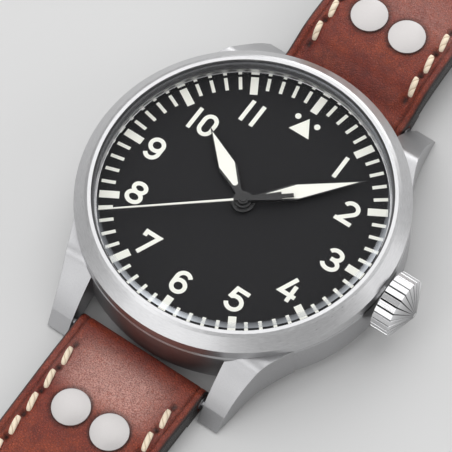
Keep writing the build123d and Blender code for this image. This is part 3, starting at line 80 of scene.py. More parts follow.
# Numerals and marks
hour_count = 12
minute_count = 60
minutes_per_hour_mark = 5
mark_outer = 18.0
hour_mark_inner = 15.47
minute_mark_inner = 16.2
hour_mark_width = 1.0
minute_mark_width = 0.45
numeral_circle = 13.1
numeral_half_height = 1.37
numeral_spread = 1.07
stroke_width = 0.56
digit_places = {"10": (-0.63, 1.37), "11": (-0.785, 0.785)}
numeral_shifts = {1: (0.62, -0.33), 2: (0.18, -0.24), 3: (0.41, -0.17), 4: (0.0, 0.12), 5: (0.24, 0.03),
                  6: (-0.13, -0.1), 7: (0.0, 0.14), 8: (-0.47, 0.29), 9: (-0.48, 0.05), 10: (0.0, -0.03),
                  11: (0.235, -0.24)}
sign_shift = 0.12
triangle_half_width = 1.5
triangle_base = 12.0
triangle_tip = 14.5
dot_place = (1.44, 14.06)
dot_radius = 0.4

# Strap
bar_reach = 22.6
bar_height = 1.65
roll_radius = 1.5
lining_start = 25.8
lining_thickness = 1.2
strap_half_width = 9.5
strap_end_half_width = 8.9
taper_end = 72.6
long_reach = 140.6
tip_shoulder = 126.6
tip_belly = (6.408, 136.12)
tip_half_width = 0.25
short_reach = 97.6
long_stations = (27.32, 34.4, 58.0, 140.6)
long_unders = (0.02, 0.02, 0.02, 0.02)
long_thicknesses = (3.4, 3.298, 2.788, 2.38)
short_stations = (27.1, 33.85, 44.35, 57.85, 97.6)
short_unders = (1.862, 2.45, 2.107, 1.323, 1.323)
short_thicknesses = (3.201, 3.3, 3.168, 3.003, 3.003)
edge_round = 0.42
rim_width = 0.42
rim_blend = 0.3
crease_inset = 1.15
crease_width = 0.17
crease_depth = 0.16
crease_stop = 0.5
# Painted shade along the crease line
crease_shade = 0.45
pad_edge = 3.7
pad_run = 2.4
pad_front_gap = 0.5
pad_front_run = 3.0
pad_fall = 0.22
pad_fall_far = 0.1
pad_fade_start = 40.0
pad_fade_end = 75.0
rivet_reach = 32.7
rivet_offset = 2.9
rivet_radius = 2.45
rivet_gap = 0.05
rivet_dent = 0.16
rivet_dent_width = 0.3
# Painted shade round the rivets' rims
rivet_rim_shade = 0.8
cap_cut_radius = 2.02
cap_cut_height = 0.36
hole_reaches = [92.6 + 6.0 * index for index in range(7)]
hole_radius = 0.9
bore_radius = 1.0
slot_half_width = 1.6
slot_depth = 3.6
slot_overrun = 4.0
tunnel_radius = 0.85
cut_low = -1.0
cut_high = 12.0
# Painted highlight: where a paler, glossier patch sits on each strap half, along and across, and its share
highlight_patch_places = {True: (27.3, -0.3, 0.85), False: (37.2, 3.0, 0.3)}
highlight_patch_length = 3.6
highlight_patch_width = 6.8

# Strap meshes: slices lie across the strap, columns along it
bend_slices = 14
first_slice = 0.25
slice_step = 0.42
step_lean = 0.02
tip_run = 0.6
tip_turn = 0.1
tip_slices = 8
skin_columns = 90
lining_columns = 40
column_squeeze = 0.97
dent_limit_share = 0.46
hole_steps = 32
cut_steps = 40

# Stitching
stitch_start = 27.4
stitch_ends = {True: 124.0, False: 92.0}
stitch_pitch = 3.65
stitch_length = 2.75
stitch_radius = 0.41
stitch_rise = 0.22
stitch_sink = 0.45
stitch_slant = 0.2
stitch_row_inset = 2.03
stitch_dent = 0.3
stitch_hole_length = 0.45
stitch_hole_width = 0.38
# Painted shade in the stitch holes
stitch_hole_shade = 1.1
stitch_slices = 17
stitch_sides = 12
stitch_end_share = 0.35
stitch_flat_share = 0.86
stitch_arch_power = 0.8
stitch_swell_power = 0.6
strand_twist = 2.6

# Keepers
keeper_wall = 1.0
keeper_bend = 1.2
keeper_bend_slices = 9
keeper_run_slices = 26
keeper_columns = 48
keeper_round = 0.3
keeper_pulls = (1.35, 1.9)
keeper_crease_side = 0.2
keeper_crease_inset = 0.85
keeper_crease_width = 0.16
keeper_crease_depth = 0.13
keeper_rim_width = 0.2
keeper_rim_blend = 0.15
keeper_inside_dark = 0.7

# Closed meshes: points nearer than the gap in metres are one, and edges past the angles are sharp
double_gap = 1e-7
print_sharp = 40.0
leather_sharp = 50.0
thread_sharp = 60.0

# Colours
steel_satin = (0.66, 0.66, 0.67, 1.0)
steel_case = (0.48, 0.48, 0.49, 1.0)
steel_small = (0.64, 0.64, 0.65, 1.0)
steel_bright = (0.80, 0.80, 0.81, 1.0)
# Painted shade: the spring bars' steel is darker than the other steel, where the bars show in the gap by the
# lugs
shaded_bar_steel = (0.32, 0.32, 0.33, 1.0)
steel_crown = (0.74, 0.74, 0.75, 1.0)
# Painted shade in the crown's grooves
steel_groove_shade = (0.03, 0.03, 0.032, 1.0)
steel_rivet = (0.54, 0.52, 0.515, 1.0)
steel_work = (0.62, 0.62, 0.64, 1.0)
steel_spring = (0.38, 0.42, 0.55, 1.0)
brass_gilt = (0.78, 0.60, 0.30, 1.0)
plate_silver = (0.74, 0.73, 0.70, 1.0)
rotor_silver = (0.72, 0.72, 0.73, 1.0)
glass_face = (0.95, 0.97, 1.0, 1.0)
glass_bevel = (0.78, 0.82, 0.88, 1.0)
leather_deep = (0.13, 0.013, 0.009, 1.0)
leather_red = (0.30, 0.036, 0.015, 1.0)
leather_warm = (0.42, 0.066, 0.017, 1.0)
# Painted highlight: the pale colour of the patch on the leather
leather_highlight_paint = (0.84, 0.40, 0.32, 1.0)
# Painted shade in the creases, round the rivets and in the stitch holes
leather_shade_paint = (0.022, 0.006, 0.004, 1.0)
leather_edge = (0.016, 0.011, 0.010, 1.0)
lining_deep = (0.010, 0.008, 0.007, 1.0)
lining_brown = (0.028, 0.021, 0.018, 1.0)
lining_warm = (0.045, 0.033, 0.027, 1.0)
thread_cream = (0.95, 0.81, 0.62, 1.0)
# Painted shade between the thread's twisted strands
thread_shade = (0.52, 0.36, 0.22, 1.0)
lume_cream = (0.97, 0.98, 0.86, 1.0)
dial_black = (0.0195, 0.0195, 0.021, 1.0)
hand_black = (0.018, 0.018, 0.019, 1.0)
hand_white = (0.95, 0.95, 0.88, 1.0)
holder_white = (0.72, 0.72, 0.69, 1.0)
gasket_black = (0.02, 0.02, 0.02, 1.0)
nylon_black = (0.09, 0.09, 0.095, 1.0)
floor_grey = (0.68, 0.68, 0.68, 1.0)

# Patterns: the shares of the colour in a brush line's hollow and on a paint's tooth, and the waves of
# the rings in each of a plate's cells, in radians for a whole cell
brush_dark = 0.82
tooth_pale = 1.12
plate_ring_waves = 42.0

# Studio: each lamp's place and its two sides in metres, and its power; the floor and the camera's
# nearest and farthest sight are in metres too, its place and sensor in millimetres
lamps = {
    "key_softbox": ((-0.30, 0.40, 0.75), (1.3, 1.3), 5.8),
    "side_softbox": ((0.62, 0.30, 0.30), (0.4, 0.5), 0.8),
    "low_softbox": ((-0.10, -0.85, 0.35), (1.0, 0.5), 1.7),
    "back_softbox": ((-0.15, 0.95, 0.20), (0.8, 0.25), 2.0),
    "front_softbox": ((-0.26, -0.56, 0.78), (0.45, 0.3), 0.9),
}
room_light = 0.48
floor_half = 1.5
floor_level = -0.00002
camera_place = (92.471, -123.905, 313.791)
camera_right = (0.818844, 0.573585, -0.022213)
camera_ahead = (-0.271032, 0.352233, -0.895809)
camera_up = (-0.505998, 0.739548, 0.443884)
photo_width = 452
focal_pixels = 2757.09
sensor_width = 36.0
clip_near = 0.01
clip_far = 10.0


# Shader nodes

def new_finish(name, **sockets):
    """A material with one Principled shader; each word names a socket of it, and its value."""
    material = bpy.data.materials.new(name)
    material.use_nodes = True
    tree = material.node_tree
    shader = tree.nodes["Principled BSDF"]
    for word, value in sockets.items():
        shader.inputs[word.replace("_", " ")].default_value = value
    return material, tree, shader


def feed(tree, socket, value):
    """Links a socket into an input, or sets the input to a plain value."""
    if isinstance(value, bpy.types.NodeSocket):
        tree.links.new(value, socket)
    else:
        socket.default_value = value


def add(tree, kind, inputs=None, **settings):
    """One shader node; its inputs are values or the sockets that feed them."""
    node = tree.nodes.new("ShaderNode" + kind)
    for word, value in settings.items():
        setattr(node, word, value)
    for word, value in (inputs or {}).items():
        feed(tree, node.inputs[word], value)
    return node


def sums(tree, operation, first, second=0.0):
    """The result of one sum."""
    return add(tree, "Math", {0: first, 1: second}, operation=operation).outputs[0]


def span(tree, value, low, high, to_low, to_high):
    """A value carried from one range to another, held at its ends."""
    return add(tree, "MapRange", {0: value, 1: low, 2: high, 3: to_low, 4: to_high}).outputs[0]


def blended(tree, share, first, second):
    """Two colours mixed by a share from 0 to 1."""
    return add(tree, "Mix", {0: share, 6: first, 7: second}, data_type="RGBA").outputs[2]


def places(tree):
    """Places on the piece itself, in metres."""
    return add(tree, "TexCoord").outputs["Object"]


def marked(tree, name):
    """What a piece's point attribute of this name holds."""
    return add(tree, "Attribute", attribute_name=name).outputs["Vector"]


def split(tree, where):
    """The three parts of a place."""
    return add(tree, "SeparateXYZ", {"Vector": where}).outputs


def flat_length(tree, first, second):
    """The length of a place's two parts, without the third."""
    flat = add(tree, "CombineXYZ", {"X": first, "Y": second})
    return add(tree, "VectorMath", {0: flat.outputs[0]}, operation="LENGTH").outputs["Value"]


def noise(tree, where, scale, detail=3.0, rough=0.5):
    """Cloudy noise from 0 to 1."""
    return add(tree, "TexNoise", {"Vector": where, "Scale": scale, "Detail": detail,
                                  "Roughness": rough}).outputs[0]


def bumped(tree, shader, height, depth, start=None):
    """Raises the shader's surface by a height from 0 to 1 times a depth in metres."""
    inputs = {"Height": height, "Distance": depth, "Strength": 1.0}
    if start is not None:
        inputs["Normal"] = start
    normal = add(tree, "Bump", inputs).outputs[0]
    tree.links.new(normal, shader.inputs["Normal"])
    return normal


def roughened(tree, shader, pattern, low, high, least, most):
    """Roughness from least to most where a pattern runs from low to high."""
    tree.links.new(span(tree, pattern, low, high, least, most), shader.inputs["Roughness"])


def coloured(tree, shader, share, first, second):
    """A base colour mixed of two by a share from 0 to 1."""
    tree.links.new(blended(tree, share, first, second), shader.inputs["Base Color"])


def softened_edges(tree, radius):
    """Normals that run over edges as over a small radius."""
    return add(tree, "Bevel", {"Radius": radius}, samples=6).outputs[0]


def stretched(tree, scales):
    """Places stretched by a scale along each axis."""
    return add(tree, "Mapping", {"Vector": places(tree), "Scale": scales}).outputs[0]


def round_places(tree, across, around):
    """Distance from the watch's axis, turn round it, and height, each times a scale."""
    side, ahead, height = split(tree, places(tree))
    reach = flat_length(tree, side, ahead)
    turn = sums(tree, "ARCTAN2", ahead, side)
    return add(tree, "CombineXYZ", {"X": sums(tree, "MULTIPLY", reach, across),
                                    "Y": sums(tree, "MULTIPLY", turn, around),
                                    "Z": sums(tree, "MULTIPLY", height, across)}).outputs[0]


# Finishes

def brushed_steel(name, color, roughness, depth, where, edge=0.00007, turned=False):
    """Steel with fine brush lines; where gives places stretched along the lines."""
    material, tree, shader = new_finish(name, Metallic=1.0)
    if turned:
        shader.inputs["Anisotropic"].default_value = 0.55
        around = add(tree, "VectorMath", {0: (0.0, 0.0, 1.0), 1: places(tree)}, operation="CROSS_PRODUCT")
        tangent = add(tree, "VectorMath", {0: around.outputs[0]}, operation="NORMALIZE")
        tree.links.new(tangent.outputs[0], shader.inputs["Tangent"])
    lines = noise(tree, where(tree), scale=1.0, detail=4.0, rough=0.65)
    clouds = noise(tree, places(tree), scale=240.0, detail=2.0)
    rough = span(tree, lines, 0.25, 0.75, roughness - 0.07, roughness + 0.09)
    wear_and_highlight = span(tree, clouds, 0.3, 0.7, -0.03, 0.04)
    tree.links.new(sums(tree, "ADD", rough, wear_and_highlight), shader.inputs["Roughness"])
    dark = tuple(brush_dark * value for value in color[:3]) + (1.0,)
    coloured(tree, shader, span(tree, lines, 0.3, 0.7, 0.0, 1.0), dark, color)
    bumped(tree, shader, lines, depth, softened_edges(tree, edge))
    return material


def polished_steel(name, color, roughness, edge=0.00006):
    """Bright steel with faint handling marks."""
    material, tree, shader = new_finish(name, Metallic=1.0, Base_Color=color)
    marks = noise(tree, places(tree), scale=900.0, detail=4.0, rough=0.6)
    roughened(tree, shader, marks, 0.35, 0.75, roughness, roughness + 0.08)
    bumped(tree, shader, marks, depth=0.0000004, start=softened_edges(tree, edge))
    return material


def fluted_steel(name, color, roughness):
    """Bright lands with grooves painted dark as shade, told apart by how far they lie from the crown's axis.
    """
    material, tree, shader = new_finish(name, Metallic=1.0)
    parts = split(tree, places(tree))
    level = sums(tree, "SUBTRACT", parts[2], crown_height * MM)
    cone = (parts[0], crown_shoulder * MM, crown_tip * MM)
    land = span(tree, *cone, crown_radius * MM, crown_radius * crown_tip_share * MM)
    share = sums(tree, "DIVIDE", flat_length(tree, parts[1], level), land)
    full = span(tree, *cone, *crown_full_shares)
    groove = span(tree, share, crown_groove_share, full, 1.0, 0.0)
    outer = span(tree, share, *crown_plain_shares, 0.0, 1.0)
    dark = sums(tree, "MULTIPLY", groove, outer)
    marks = noise(tree, stretched(tree, (600.0, 9000.0, 9000.0)), scale=1.0, detail=4.0, rough=0.6)
    # Painted shade in the grooves
    coloured(tree, shader, dark, color, steel_groove_shade)
    roughened(tree, shader, marks, 0.3, 0.75, roughness, roughness + 0.12)
    bumped(tree, shader, marks, depth=0.000002, start=softened_edges(tree, radius=0.00005))
    return material


def blasted_steel(name, color, roughness):
    """Bead-blasted steel: an even fine grain."""
    material, tree, shader = new_finish(name, Metallic=1.0, Base_Color=color)
    grain = noise(tree, places(tree), scale=9000.0, detail=2.0)
    roughened(tree, shader, grain, 0.3, 0.7, roughness - 0.05, roughness + 0.06)
    bumped(tree, shader, grain, depth=0.000004, start=softened_edges(tree, radius=0.00008))
    return material


def painted(name, color, roughness, depth, scale, gloss=0.5):
    """Paint, plastic or rubber with a fine even tooth."""
    material, tree, shader = new_finish(name, Specular_IOR_Level=gloss)
    tooth = noise(tree, places(tree), scale)
    roughened(tree, shader, tooth, 0.3, 0.7, roughness - 0.06, roughness + 0.06)
    pale = tuple(min(1.0, tooth_pale * value) for value in color[:3]) + (1.0,)
    coloured(tree, shader, tooth, color, pale)
    bumped(tree, shader, tooth, depth)
    return material


def seconds_paint():
    """White on the side that points, black on the hub and tail, split by the place along the hand."""
    material, tree, shader = new_finish("seconds_hand_paint", Roughness=0.5)
    ahead = (sin(radians(seconds_rest)), cos(radians(seconds_rest)), 0.0)
    along = add(tree, "VectorMath", {0: places(tree), 1: ahead}, operation="DOT_PRODUCT").outputs["Value"]
    white = span(tree, along, seconds_white_start * MM, seconds_white_full * MM, 0.0, 1.0)
    coloured(tree, shader, white, hand_black, hand_white)
    tooth = noise(tree, places(tree), scale=4000.0)
    bumped(tree, shader, tooth, depth=0.000002)
    return material


def clear_crystal():
    """Coated sapphire: see-through, a mirror only at a low angle, and its bevel a milky blue mirror with a
    painted highlight, strongest on the side by 5 o'clock. The mirror's strength is a power of how far
    the face turns away."""
    material, tree, shader = new_finish("sapphire", Metallic=1.0)
    parts = split(tree, places(tree))
    flat = add(tree, "CombineXYZ", {"X": parts[0], "Y": parts[1]}).outputs[0]
    reach = add(tree, "VectorMath", {0: flat}, operation="LENGTH").outputs["Value"]
    full_bevel = bevel_start + bevel_line
    bevel = span(tree, reach, bevel_start * MM, full_bevel * MM, 0.0, 1.0)
    depth = span(tree, reach, full_bevel * MM, bevel_end * MM, *bevel_mirror)
    smears = noise(tree, places(tree), scale=180.0, detail=2.0)
    facing = add(tree, "LayerWeight", {"Blend": 0.5}).outputs["Facing"]
    quiet = span(tree, sums(tree, "POWER", facing, face_mirror_power), 0.0, 1.0, *face_mirror)
    # Painted highlight on the bevel, strongest on the side by 5 o'clock
    side = add(tree, "VectorMath", {0: flat, 1: bevel_highlight_side}, operation="DOT_PRODUCT").outputs["Value"]
    bevel_highlight = span(tree, side, *bevel_highlight_run, *bevel_highlight_shares)
    cloudy = sums(tree, "ADD", depth, span(tree, smears, 0.2, 0.8, *bevel_smears))
    edge = sums(tree, "MULTIPLY", bevel_highlight, cloudy)
    mirror = span(tree, bevel, 0.0, 1.0, quiet, edge)
    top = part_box("crystal")[1][2]
    skin_low = top - (glass_skin + glass_skin_line) * MM
    upper = span(tree, parts[2], skin_low, top - glass_skin * MM, 0.0, 1.0)
    tree.links.new(sums(tree, "MULTIPLY", mirror, upper), shader.inputs["Alpha"])
    coloured(tree, shader, bevel, glass_face, glass_bevel)
    roughened(tree, shader, bevel, 0.0, 1.0, *glass_roughness)
    return material


def leather(name, deep, main, warm, rim, roughness):
    """Waxed leather: clouds of colour, fine pores and creases, a black rim, painted shade in the creases,
    round the rivets and in the stitch holes, and a painted highlight: a patch that is paler and pebbled
    in colour, and glossier."""
    material, tree, shader = new_finish(name, Coat_Roughness=0.25, Coat_IOR=1.8, Specular_IOR_Level=0.4)
    lie = marked(tree, "lie")
    black, painted_shade, wear_and_highlight = split(tree, marked(tree, "masks"))
    clouds = noise(tree, lie, scale=0.16, detail=4.0, rough=0.6)
    blotches = noise(tree, lie, scale=0.75, detail=4.0, rough=0.6)
    fine = noise(tree, lie, scale=3.4, detail=5.0, rough=0.68)
    pebbles = noise(tree, lie, scale=6.5, detail=3.0, rough=0.6)
    pores = add(tree, "TexVoronoi", {"Vector": lie, "Scale": 3.1, "Randomness": 1.0},
                feature="DISTANCE_TO_EDGE").outputs[0]
    body = blended(tree, span(tree, clouds, 0.36, 0.66, 0.0, 1.0), main, warm)
    mottled = blended(tree, span(tree, blotches, 0.3, 0.62, 0.62, 0.0), body, deep)
    grained = blended(tree, span(tree, fine, 0.34, 0.56, 0.42, 0.0), mottled, deep)
    netted = blended(tree, span(tree, pores, 0.0, 0.15, 0.4, 0.0), grained, deep)
    # Painted highlight: a paler, pebbled patch, which also raises the coat
    highlight_patch = sums(tree, "MULTIPLY", wear_and_highlight, span(tree, pebbles, 0.38, 0.6, 0.25, 1.0))
    highlighted = blended(tree, highlight_patch, netted, leather_highlight_paint)
    # Painted shade in the creases, round the rivets and in the stitch holes
    shaded = blended(tree, painted_shade, highlighted, leather_shade_paint)
    coloured(tree, shader, black, shaded, rim)
    tree.links.new(span(tree, highlight_patch, 0.0, 1.0, 0.12, 0.9), shader.inputs["Coat Weight"])
    roughened(tree, shader, fine, 0.3, 0.7, roughness - 0.09, roughness + 0.12)
    folds = add(tree, "Mapping", {"Vector": lie, "Scale": (1.0, 0.42, 1.0), "Rotation": (0.0, 0.0, 0.5)})
    folded = noise(tree, folds.outputs[0], scale=1.5, detail=5.0, rough=0.62)
    creases = bumped(tree, shader, folded, depth=0.0003)
    ripples = bumped(tree, shader, fine, depth=0.00016, start=creases)
    bumped(tree, shader, span(tree, pores, 0.0, 0.2, 0.0, 1.0), depth=0.00009, start=ripples)
    return material


def waxed_thread():
    """Twisted waxed linen: strands wound round the stitch, by its own places."""
    material, tree, shader = new_finish("waxed_thread", Sheen_Weight=0.25, Specular_IOR_Level=0.35)
    run, turn, _ = split(tree, marked(tree, "lie"))
    wound = sums(tree, "ADD", sums(tree, "MULTIPLY", run, strand_twist), turn)
    strand = sums(tree, "ABSOLUTE", sums(tree, "SINE", wound))
    fuzz = noise(tree, places(tree), scale=12000.0)
    # Painted shade between the twisted strands
    coloured(tree, shader, span(tree, strand, 0.0, 0.4, 0.75, 0.0), thread_cream, thread_shade)
    roughened(tree, shader, fuzz, 0.3, 0.7, 0.6, 0.8)
    strands = bumped(tree, shader, strand, depth=0.00011)
    bumped(tree, shader, fuzz, depth=0.00001, start=strands)
    return material


def circles_on_plate(name, color, roughness):
    """Plated brass with rows of small overlapping rubbed circles."""
    material, tree, shader = new_finish(name, Metallic=1.0, Base_Color=color)
    cells = add(tree, "TexVoronoi", {"Vector": places(tree), "Scale": 720.0, "Randomness": 0.12})
    rings = sums(tree, "SINE", sums(tree, "MULTIPLY", cells.outputs["Distance"], plate_ring_waves))
    roughened(tree, shader, rings, -1.0, 1.0, roughness - 0.06, roughness + 0.08)
    bumped(tree, shader, rings, depth=0.000003, start=softened_edges(tree, radius=0.00005))
    return material


def striped_plate(name, color, roughness, pitch):
    """Plated steel with broad stripes across it, a sine of the place over the pitch."""
    material, tree, shader = new_finish(name, Metallic=1.0, Base_Color=color)
    parts = split(tree, places(tree))
    wave = sums(tree, "SINE", sums(tree, "MULTIPLY", parts[0], 2 * pi / pitch))
    fine = noise(tree, stretched(tree, (9000.0, 600.0, 600.0)), scale=1.0)
    roughened(tree, shader, wave, -1.0, 1.0, roughness - 0.07, roughness + 0.1)
    stripes = bumped(tree, shader, wave, depth=0.000012, start=softened_edges(tree, radius=0.00005))
    bumped(tree, shader, fine, depth=0.000002, start=stripes)
    return material


def turned_lines(across, around):
    """Brush lines round the watch's axis."""
    return lambda tree: round_places(tree, across, around)


def straight_lines(*scales):
    """Brush lines along the axis with the smallest scale."""
    return lambda tree: stretched(tree, scales)


satin_round = brushed_steel("satin_steel_round", steel_satin, roughness=0.34, depth=0.000008,
                            where=turned_lines(across=8000.0, around=24.0), turned=True)
satin_case = brushed_steel("satin_steel_case", steel_case, roughness=0.33, depth=0.0000035,
                           where=straight_lines(16000.0, 420.0, 9000.0))
satin_small = brushed_steel("satin_steel_small", steel_small, roughness=0.3, depth=0.000003,
                            where=straight_lines(900.0, 12000.0, 12000.0))
gilt_brass = brushed_steel("gilt_brass", brass_gilt, roughness=0.28, depth=0.000003,
                           where=turned_lines(across=22000.0, around=30.0), edge=0.00004)
bright_steel = polished_steel("bright_steel", steel_bright, roughness=0.05)
flange_steel = polished_steel("flange_steel", steel_bright, roughness=0.03)
bar_steel = polished_steel("bar_steel", shaded_bar_steel, roughness=0.28)
work_steel = polished_steel("work_steel", steel_work, roughness=0.16, edge=0.00003)
spring_steel = polished_steel("spring_steel", steel_spring, roughness=0.2, edge=0.00002)
crown_steel = fluted_steel("crown_steel", steel_crown, roughness=0.1)
rivet_steel = blasted_steel("rivet_steel", steel_rivet, roughness=0.45)
plate_finish = circles_on_plate("plated_plate", plate_silver, roughness=0.28)
rotor_finish = striped_plate("striped_rotor", rotor_silver, roughness=0.26, pitch=0.0016)
dial_paint = painted("dial_black", dial_black, roughness=0.7, depth=0.000004, scale=5200.0, gloss=0.12)
hand_paint = painted("hand_black", hand_black, roughness=0.42, depth=0.000002, scale=5200.0)
lume = painted("lume", lume_cream, roughness=0.72, depth=0.00001, scale=7000.0)
holder_plastic = painted("holder_plastic", holder_white, roughness=0.5, depth=0.000006, scale=1500.0)
seal_rubber = painted("seal_rubber", gasket_black, roughness=0.62, depth=0.000006, scale=2600.0)
seal_nylon = painted("seal_nylon", nylon_black, roughness=0.62, depth=0.000006, scale=2600.0)
sapphire = clear_crystal()
seconds_finish = seconds_paint()
brown_leather = leather("brown_leather", leather_deep, leather_red, leather_warm, leather_edge,
                        roughness=0.42)
lining_leather = leather("lining_leather", lining_deep, lining_brown, lining_warm, leather_edge,
                         roughness=0.58)
thread_finish = waxed_thread()

node_finishes = {
    satin_case: ["mid_case"],
    satin_round: ["bezel", "case_back"],
    satin_small: ["buckle_frame", "buckle_tongue"],
    bright_steel: ["crown_tube", "buckle_bar"],
    flange_steel: ["rehaut_ring"],
    bar_steel: ["spring_bar_6", "spring_bar_12"],
    crown_steel: ["crown"],
    rivet_steel: ["strap_6_rivets", "strap_12_rivets"],
    sapphire: ["crystal"],
    dial_paint: ["dial"],
    hand_paint: ["hour_hand", "minute_hand"],
    lume: ["hour_hand_lume", "minute_hand_lume"],
    seconds_finish: ["seconds_hand"],
    seal_rubber: ["case_back_gasket", "crown_gasket"],
    seal_nylon: ["crystal_gasket"],
    holder_plastic: ["movement_ring"],
    plate_finish: ["main_plate", "train_bridge", "balance_cock", "pallet_bridge"],
    rotor_finish: ["rotor"],
    gilt_brass: ["mainspring_barrel", "great_wheel", "third_wheel", "fourth_wheel", "minute_wheel",
                 "hour_wheel", "balance_wheel"],
    work_steel: ["escape_wheel", "pallet_fork", "cannon_pinion", "winding_stem", "winding_pinion",
                 "sliding_clutch", "setting_lever", "clutch_yoke", "crown_wheel", "winding_wheel",
                 "ratchet_wheel", "rotor_bearing", "bridge_screws"],
    spring_steel: ["hairspring", "mainspring"],
}
for finish, names in node_finishes.items():
    for name in names:
        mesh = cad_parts[name].data
        mesh.materials.clear()
        mesh.materials.append(finish)


# Meshes

def grid_faces(rows, columns, close_rows, close_columns):
    """Quads between the neighbours of a grid, wrapped round where a direction is closed."""
    first, second = np.meshgrid(np.arange(rows if close_rows else rows - 1),
                                np.arange(columns if close_columns else columns - 1), indexing="ij")
    after, beside = (first + 1) % rows, (second + 1) % columns
    corners = (first * columns + second, first * columns + beside,
               after * columns + beside, after * columns + second)
    return np.stack(corners, axis=-1).reshape(-1, 4).tolist()


def turn_outwards(mesh, weld=0.0):
    """Turns a closed mesh's faces outwards, after its doubles nearer than the weld are merged."""
    shell = bmesh.new()
    shell.from_mesh(mesh)
    if weld:
        bmesh.ops.remove_doubles(shell, verts=shell.verts, dist=weld)
    bmesh.ops.recalc_face_normals(shell, faces=shell.faces)
    shell.to_mesh(mesh)
    shell.free()


def make_piece(name, points, faces, body, slot, finish, sharp=print_sharp, marks=None, replaces=()):
    """A closed mesh from points in millimetres, riding on a body, with any named point marks."""
    mesh = bpy.data.meshes.new(name)
    mesh.from_pydata((points * MM).tolist(), [], faces)
    for mark, values in (marks or {}).items():
        attribute = mesh.attributes.new(mark, "FLOAT_VECTOR", "POINT")
        attribute.data.foreach_set("vector", values.astype(np.float32).ravel())
    turn_outwards(mesh, weld=double_gap)
    mesh.shade_smooth()
    mesh.set_sharp_from_angle(angle=radians(sharp))
    mesh.materials.append(finish)
    piece = bpy.data.objects.new(name, mesh)
    bpy.context.collection.objects.link(piece)
    if replaces:
        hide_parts(*replaces)
    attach(piece, body)
    return piece


def joined(parts):
    """Several sets of points and faces as one."""
    faces = []
    start = 0
    for points, part_faces in parts:
        faces += [[index + start for index in face] for face in part_faces]
        start += len(points)
    return np.concatenate([points for points, _ in parts]), faces


def prism(outline, low, high):
    """A flat closed outline raised from one height to another."""
    outline = np.asarray(outline, float)
    count = len(outline)
    below = np.column_stack([outline, np.full(count, low)])
    above = np.column_stack([outline, np.full(count, high)])
    ends = [list(range(count))[::-1], list(range(count, 2 * count))]
    return np.vstack([below, above]), grid_faces(2, count, False, True) + ends


def stroke(path, width, low, high, closed):
    """A band of even width along a flat path, raised between two heights. Each point moves sideways by
    half the width over the cosine of half the bend there, so that corners are mitred."""
    path = np.asarray(path, float)
    before = np.roll(path, 1, axis=0)
    after = np.roll(path, -1, axis=0)
    if not closed:
        before[0] = 2 * path[0] - path[1]
        after[-1] = 2 * path[-1] - path[-2]
    arriving = path - before
    leaving = after - path
    arriving /= np.linalg.norm(arriving, axis=1)[:, None]
    leaving /= np.linalg.norm(leaving, axis=1)[:, None]
    sideways = np.column_stack([-(arriving + leaving)[:, 1], (arriving + leaving)[:, 0]])
    sideways /= np.linalg.norm(sideways, axis=1)[:, None]
    square = sideways[:, 0] * -arriving[:, 1] + sideways[:, 1] * arriving[:, 0]
    shift = sideways * (width / 2 / square)[:, None]
    corners = [np.column_stack([path + side * shift, np.full(len(path), height)])
               for side, height in ((1, low), (-1, low), (-1, high), (1, high))]
    points = np.stack(corners, axis=1).reshape(-1, 3)
    faces = grid_faces(len(path), 4, closed, True)
    if not closed:
        last = 4 * (len(path) - 1)
        faces += [[0, 1, 2, 3], [last + 3, last + 2, last + 1, last]]
    return points, faces


def arc(centre, radii, start, end, steps=22):
    """Points on an ellipse between two angles in degrees."""
    angles = np.radians(np.linspace(start, end, steps))
    return np.column_stack([centre[0] + radii[0] * np.cos(angles), centre[1] + radii[1] * np.sin(angles)])


def ring(centre, radii, steps):
    """Points all round an ellipse, without the last one, which is the first again."""
    return arc(centre, radii, 0, 360, steps + 1)[:-1]


# Dial print

def numeral_paths(digit):
    """The middle lines of one numeral's strokes, about its own middle, with whether each is closed."""
    high = numeral_half_height
    end = high + stroke_width / 2
    six = [(ring((0, -0.56), (0.8, high - 0.56), 43), True),
           (np.vstack([arc((0.03, 0.46), (0.83, high - 0.46), 32, 180), (-0.8, -0.5)]), False)]
    zero = np.vstack([arc((0, 0.5), (0.75, high - 0.5), 0, 180),
                      arc((0, -0.5), (0.75, high - 0.5), 180, 360)])
    shapes = {
        "0": [(zero, True)],
        "1": [([(0, -end), (0, end)], False)],
        "2": [(np.vstack([arc((0, 0.58), (0.85, high - 0.58), 168, -38), (-0.82, -high)]), False),
              ([(-1.15, -high), (1.09, -high)], False)],
        "3": [(np.vstack([arc((0, 0.71), (0.8, high - 0.71), 165, -90), (-0.3, 0.05)]), False),
              (arc((0, -0.66), (0.93, 0.71), 90, -165), False)],
        "4": [([(0.2, end), (-0.82, -0.7), (1.2, -0.7)], False), ([(0.56, 0.75), (0.56, -end)], False)],
        "5": [([(1.04, high), (-0.6, high), (-0.82, -0.08)], False),
              (arc((0, -0.48), (0.92, high - 0.48), 140, -160), False)],
        "6": six,
        "7": [([(-0.93, 0.69), (-0.93, high), (0.78, high), (-0.5, -end)], False)],
        "8": [(ring((0, 0.73), (0.76, high - 0.73), 39), True),
              (ring((0, -0.64), (0.86, high - 0.64), 43), True)],
        "9": [(-path, closed) for path, closed in six],
    }
    return shapes[digit]


def numerals():
    """The numbers 1 to 11, upright, each near the numeral circle at its hour. A numeral's second stroke
    stands a step higher than its first, so that no two faces lie on each other."""
    low = dial_top - print_sink
    parts = []
    for hour in range(1, hour_count):
        turn = 2 * pi * hour / hour_count
        digits = str(hour)
        for digit, shift in zip(digits, digit_places.get(digits, (0.0,))):
            place = np.array((numeral_circle * sin(turn) + shift, numeral_circle * cos(turn)))
            place = place + numeral_shifts[hour]
            for layer, (path, closed) in enumerate(numeral_paths(digit)):
                high = dial_top + print_height + layer * print_step
                line = np.array(path) * (numeral_spread, 1.0) + place
                parts.append(stroke(line, stroke_width, low, high, closed))
    return joined(parts)


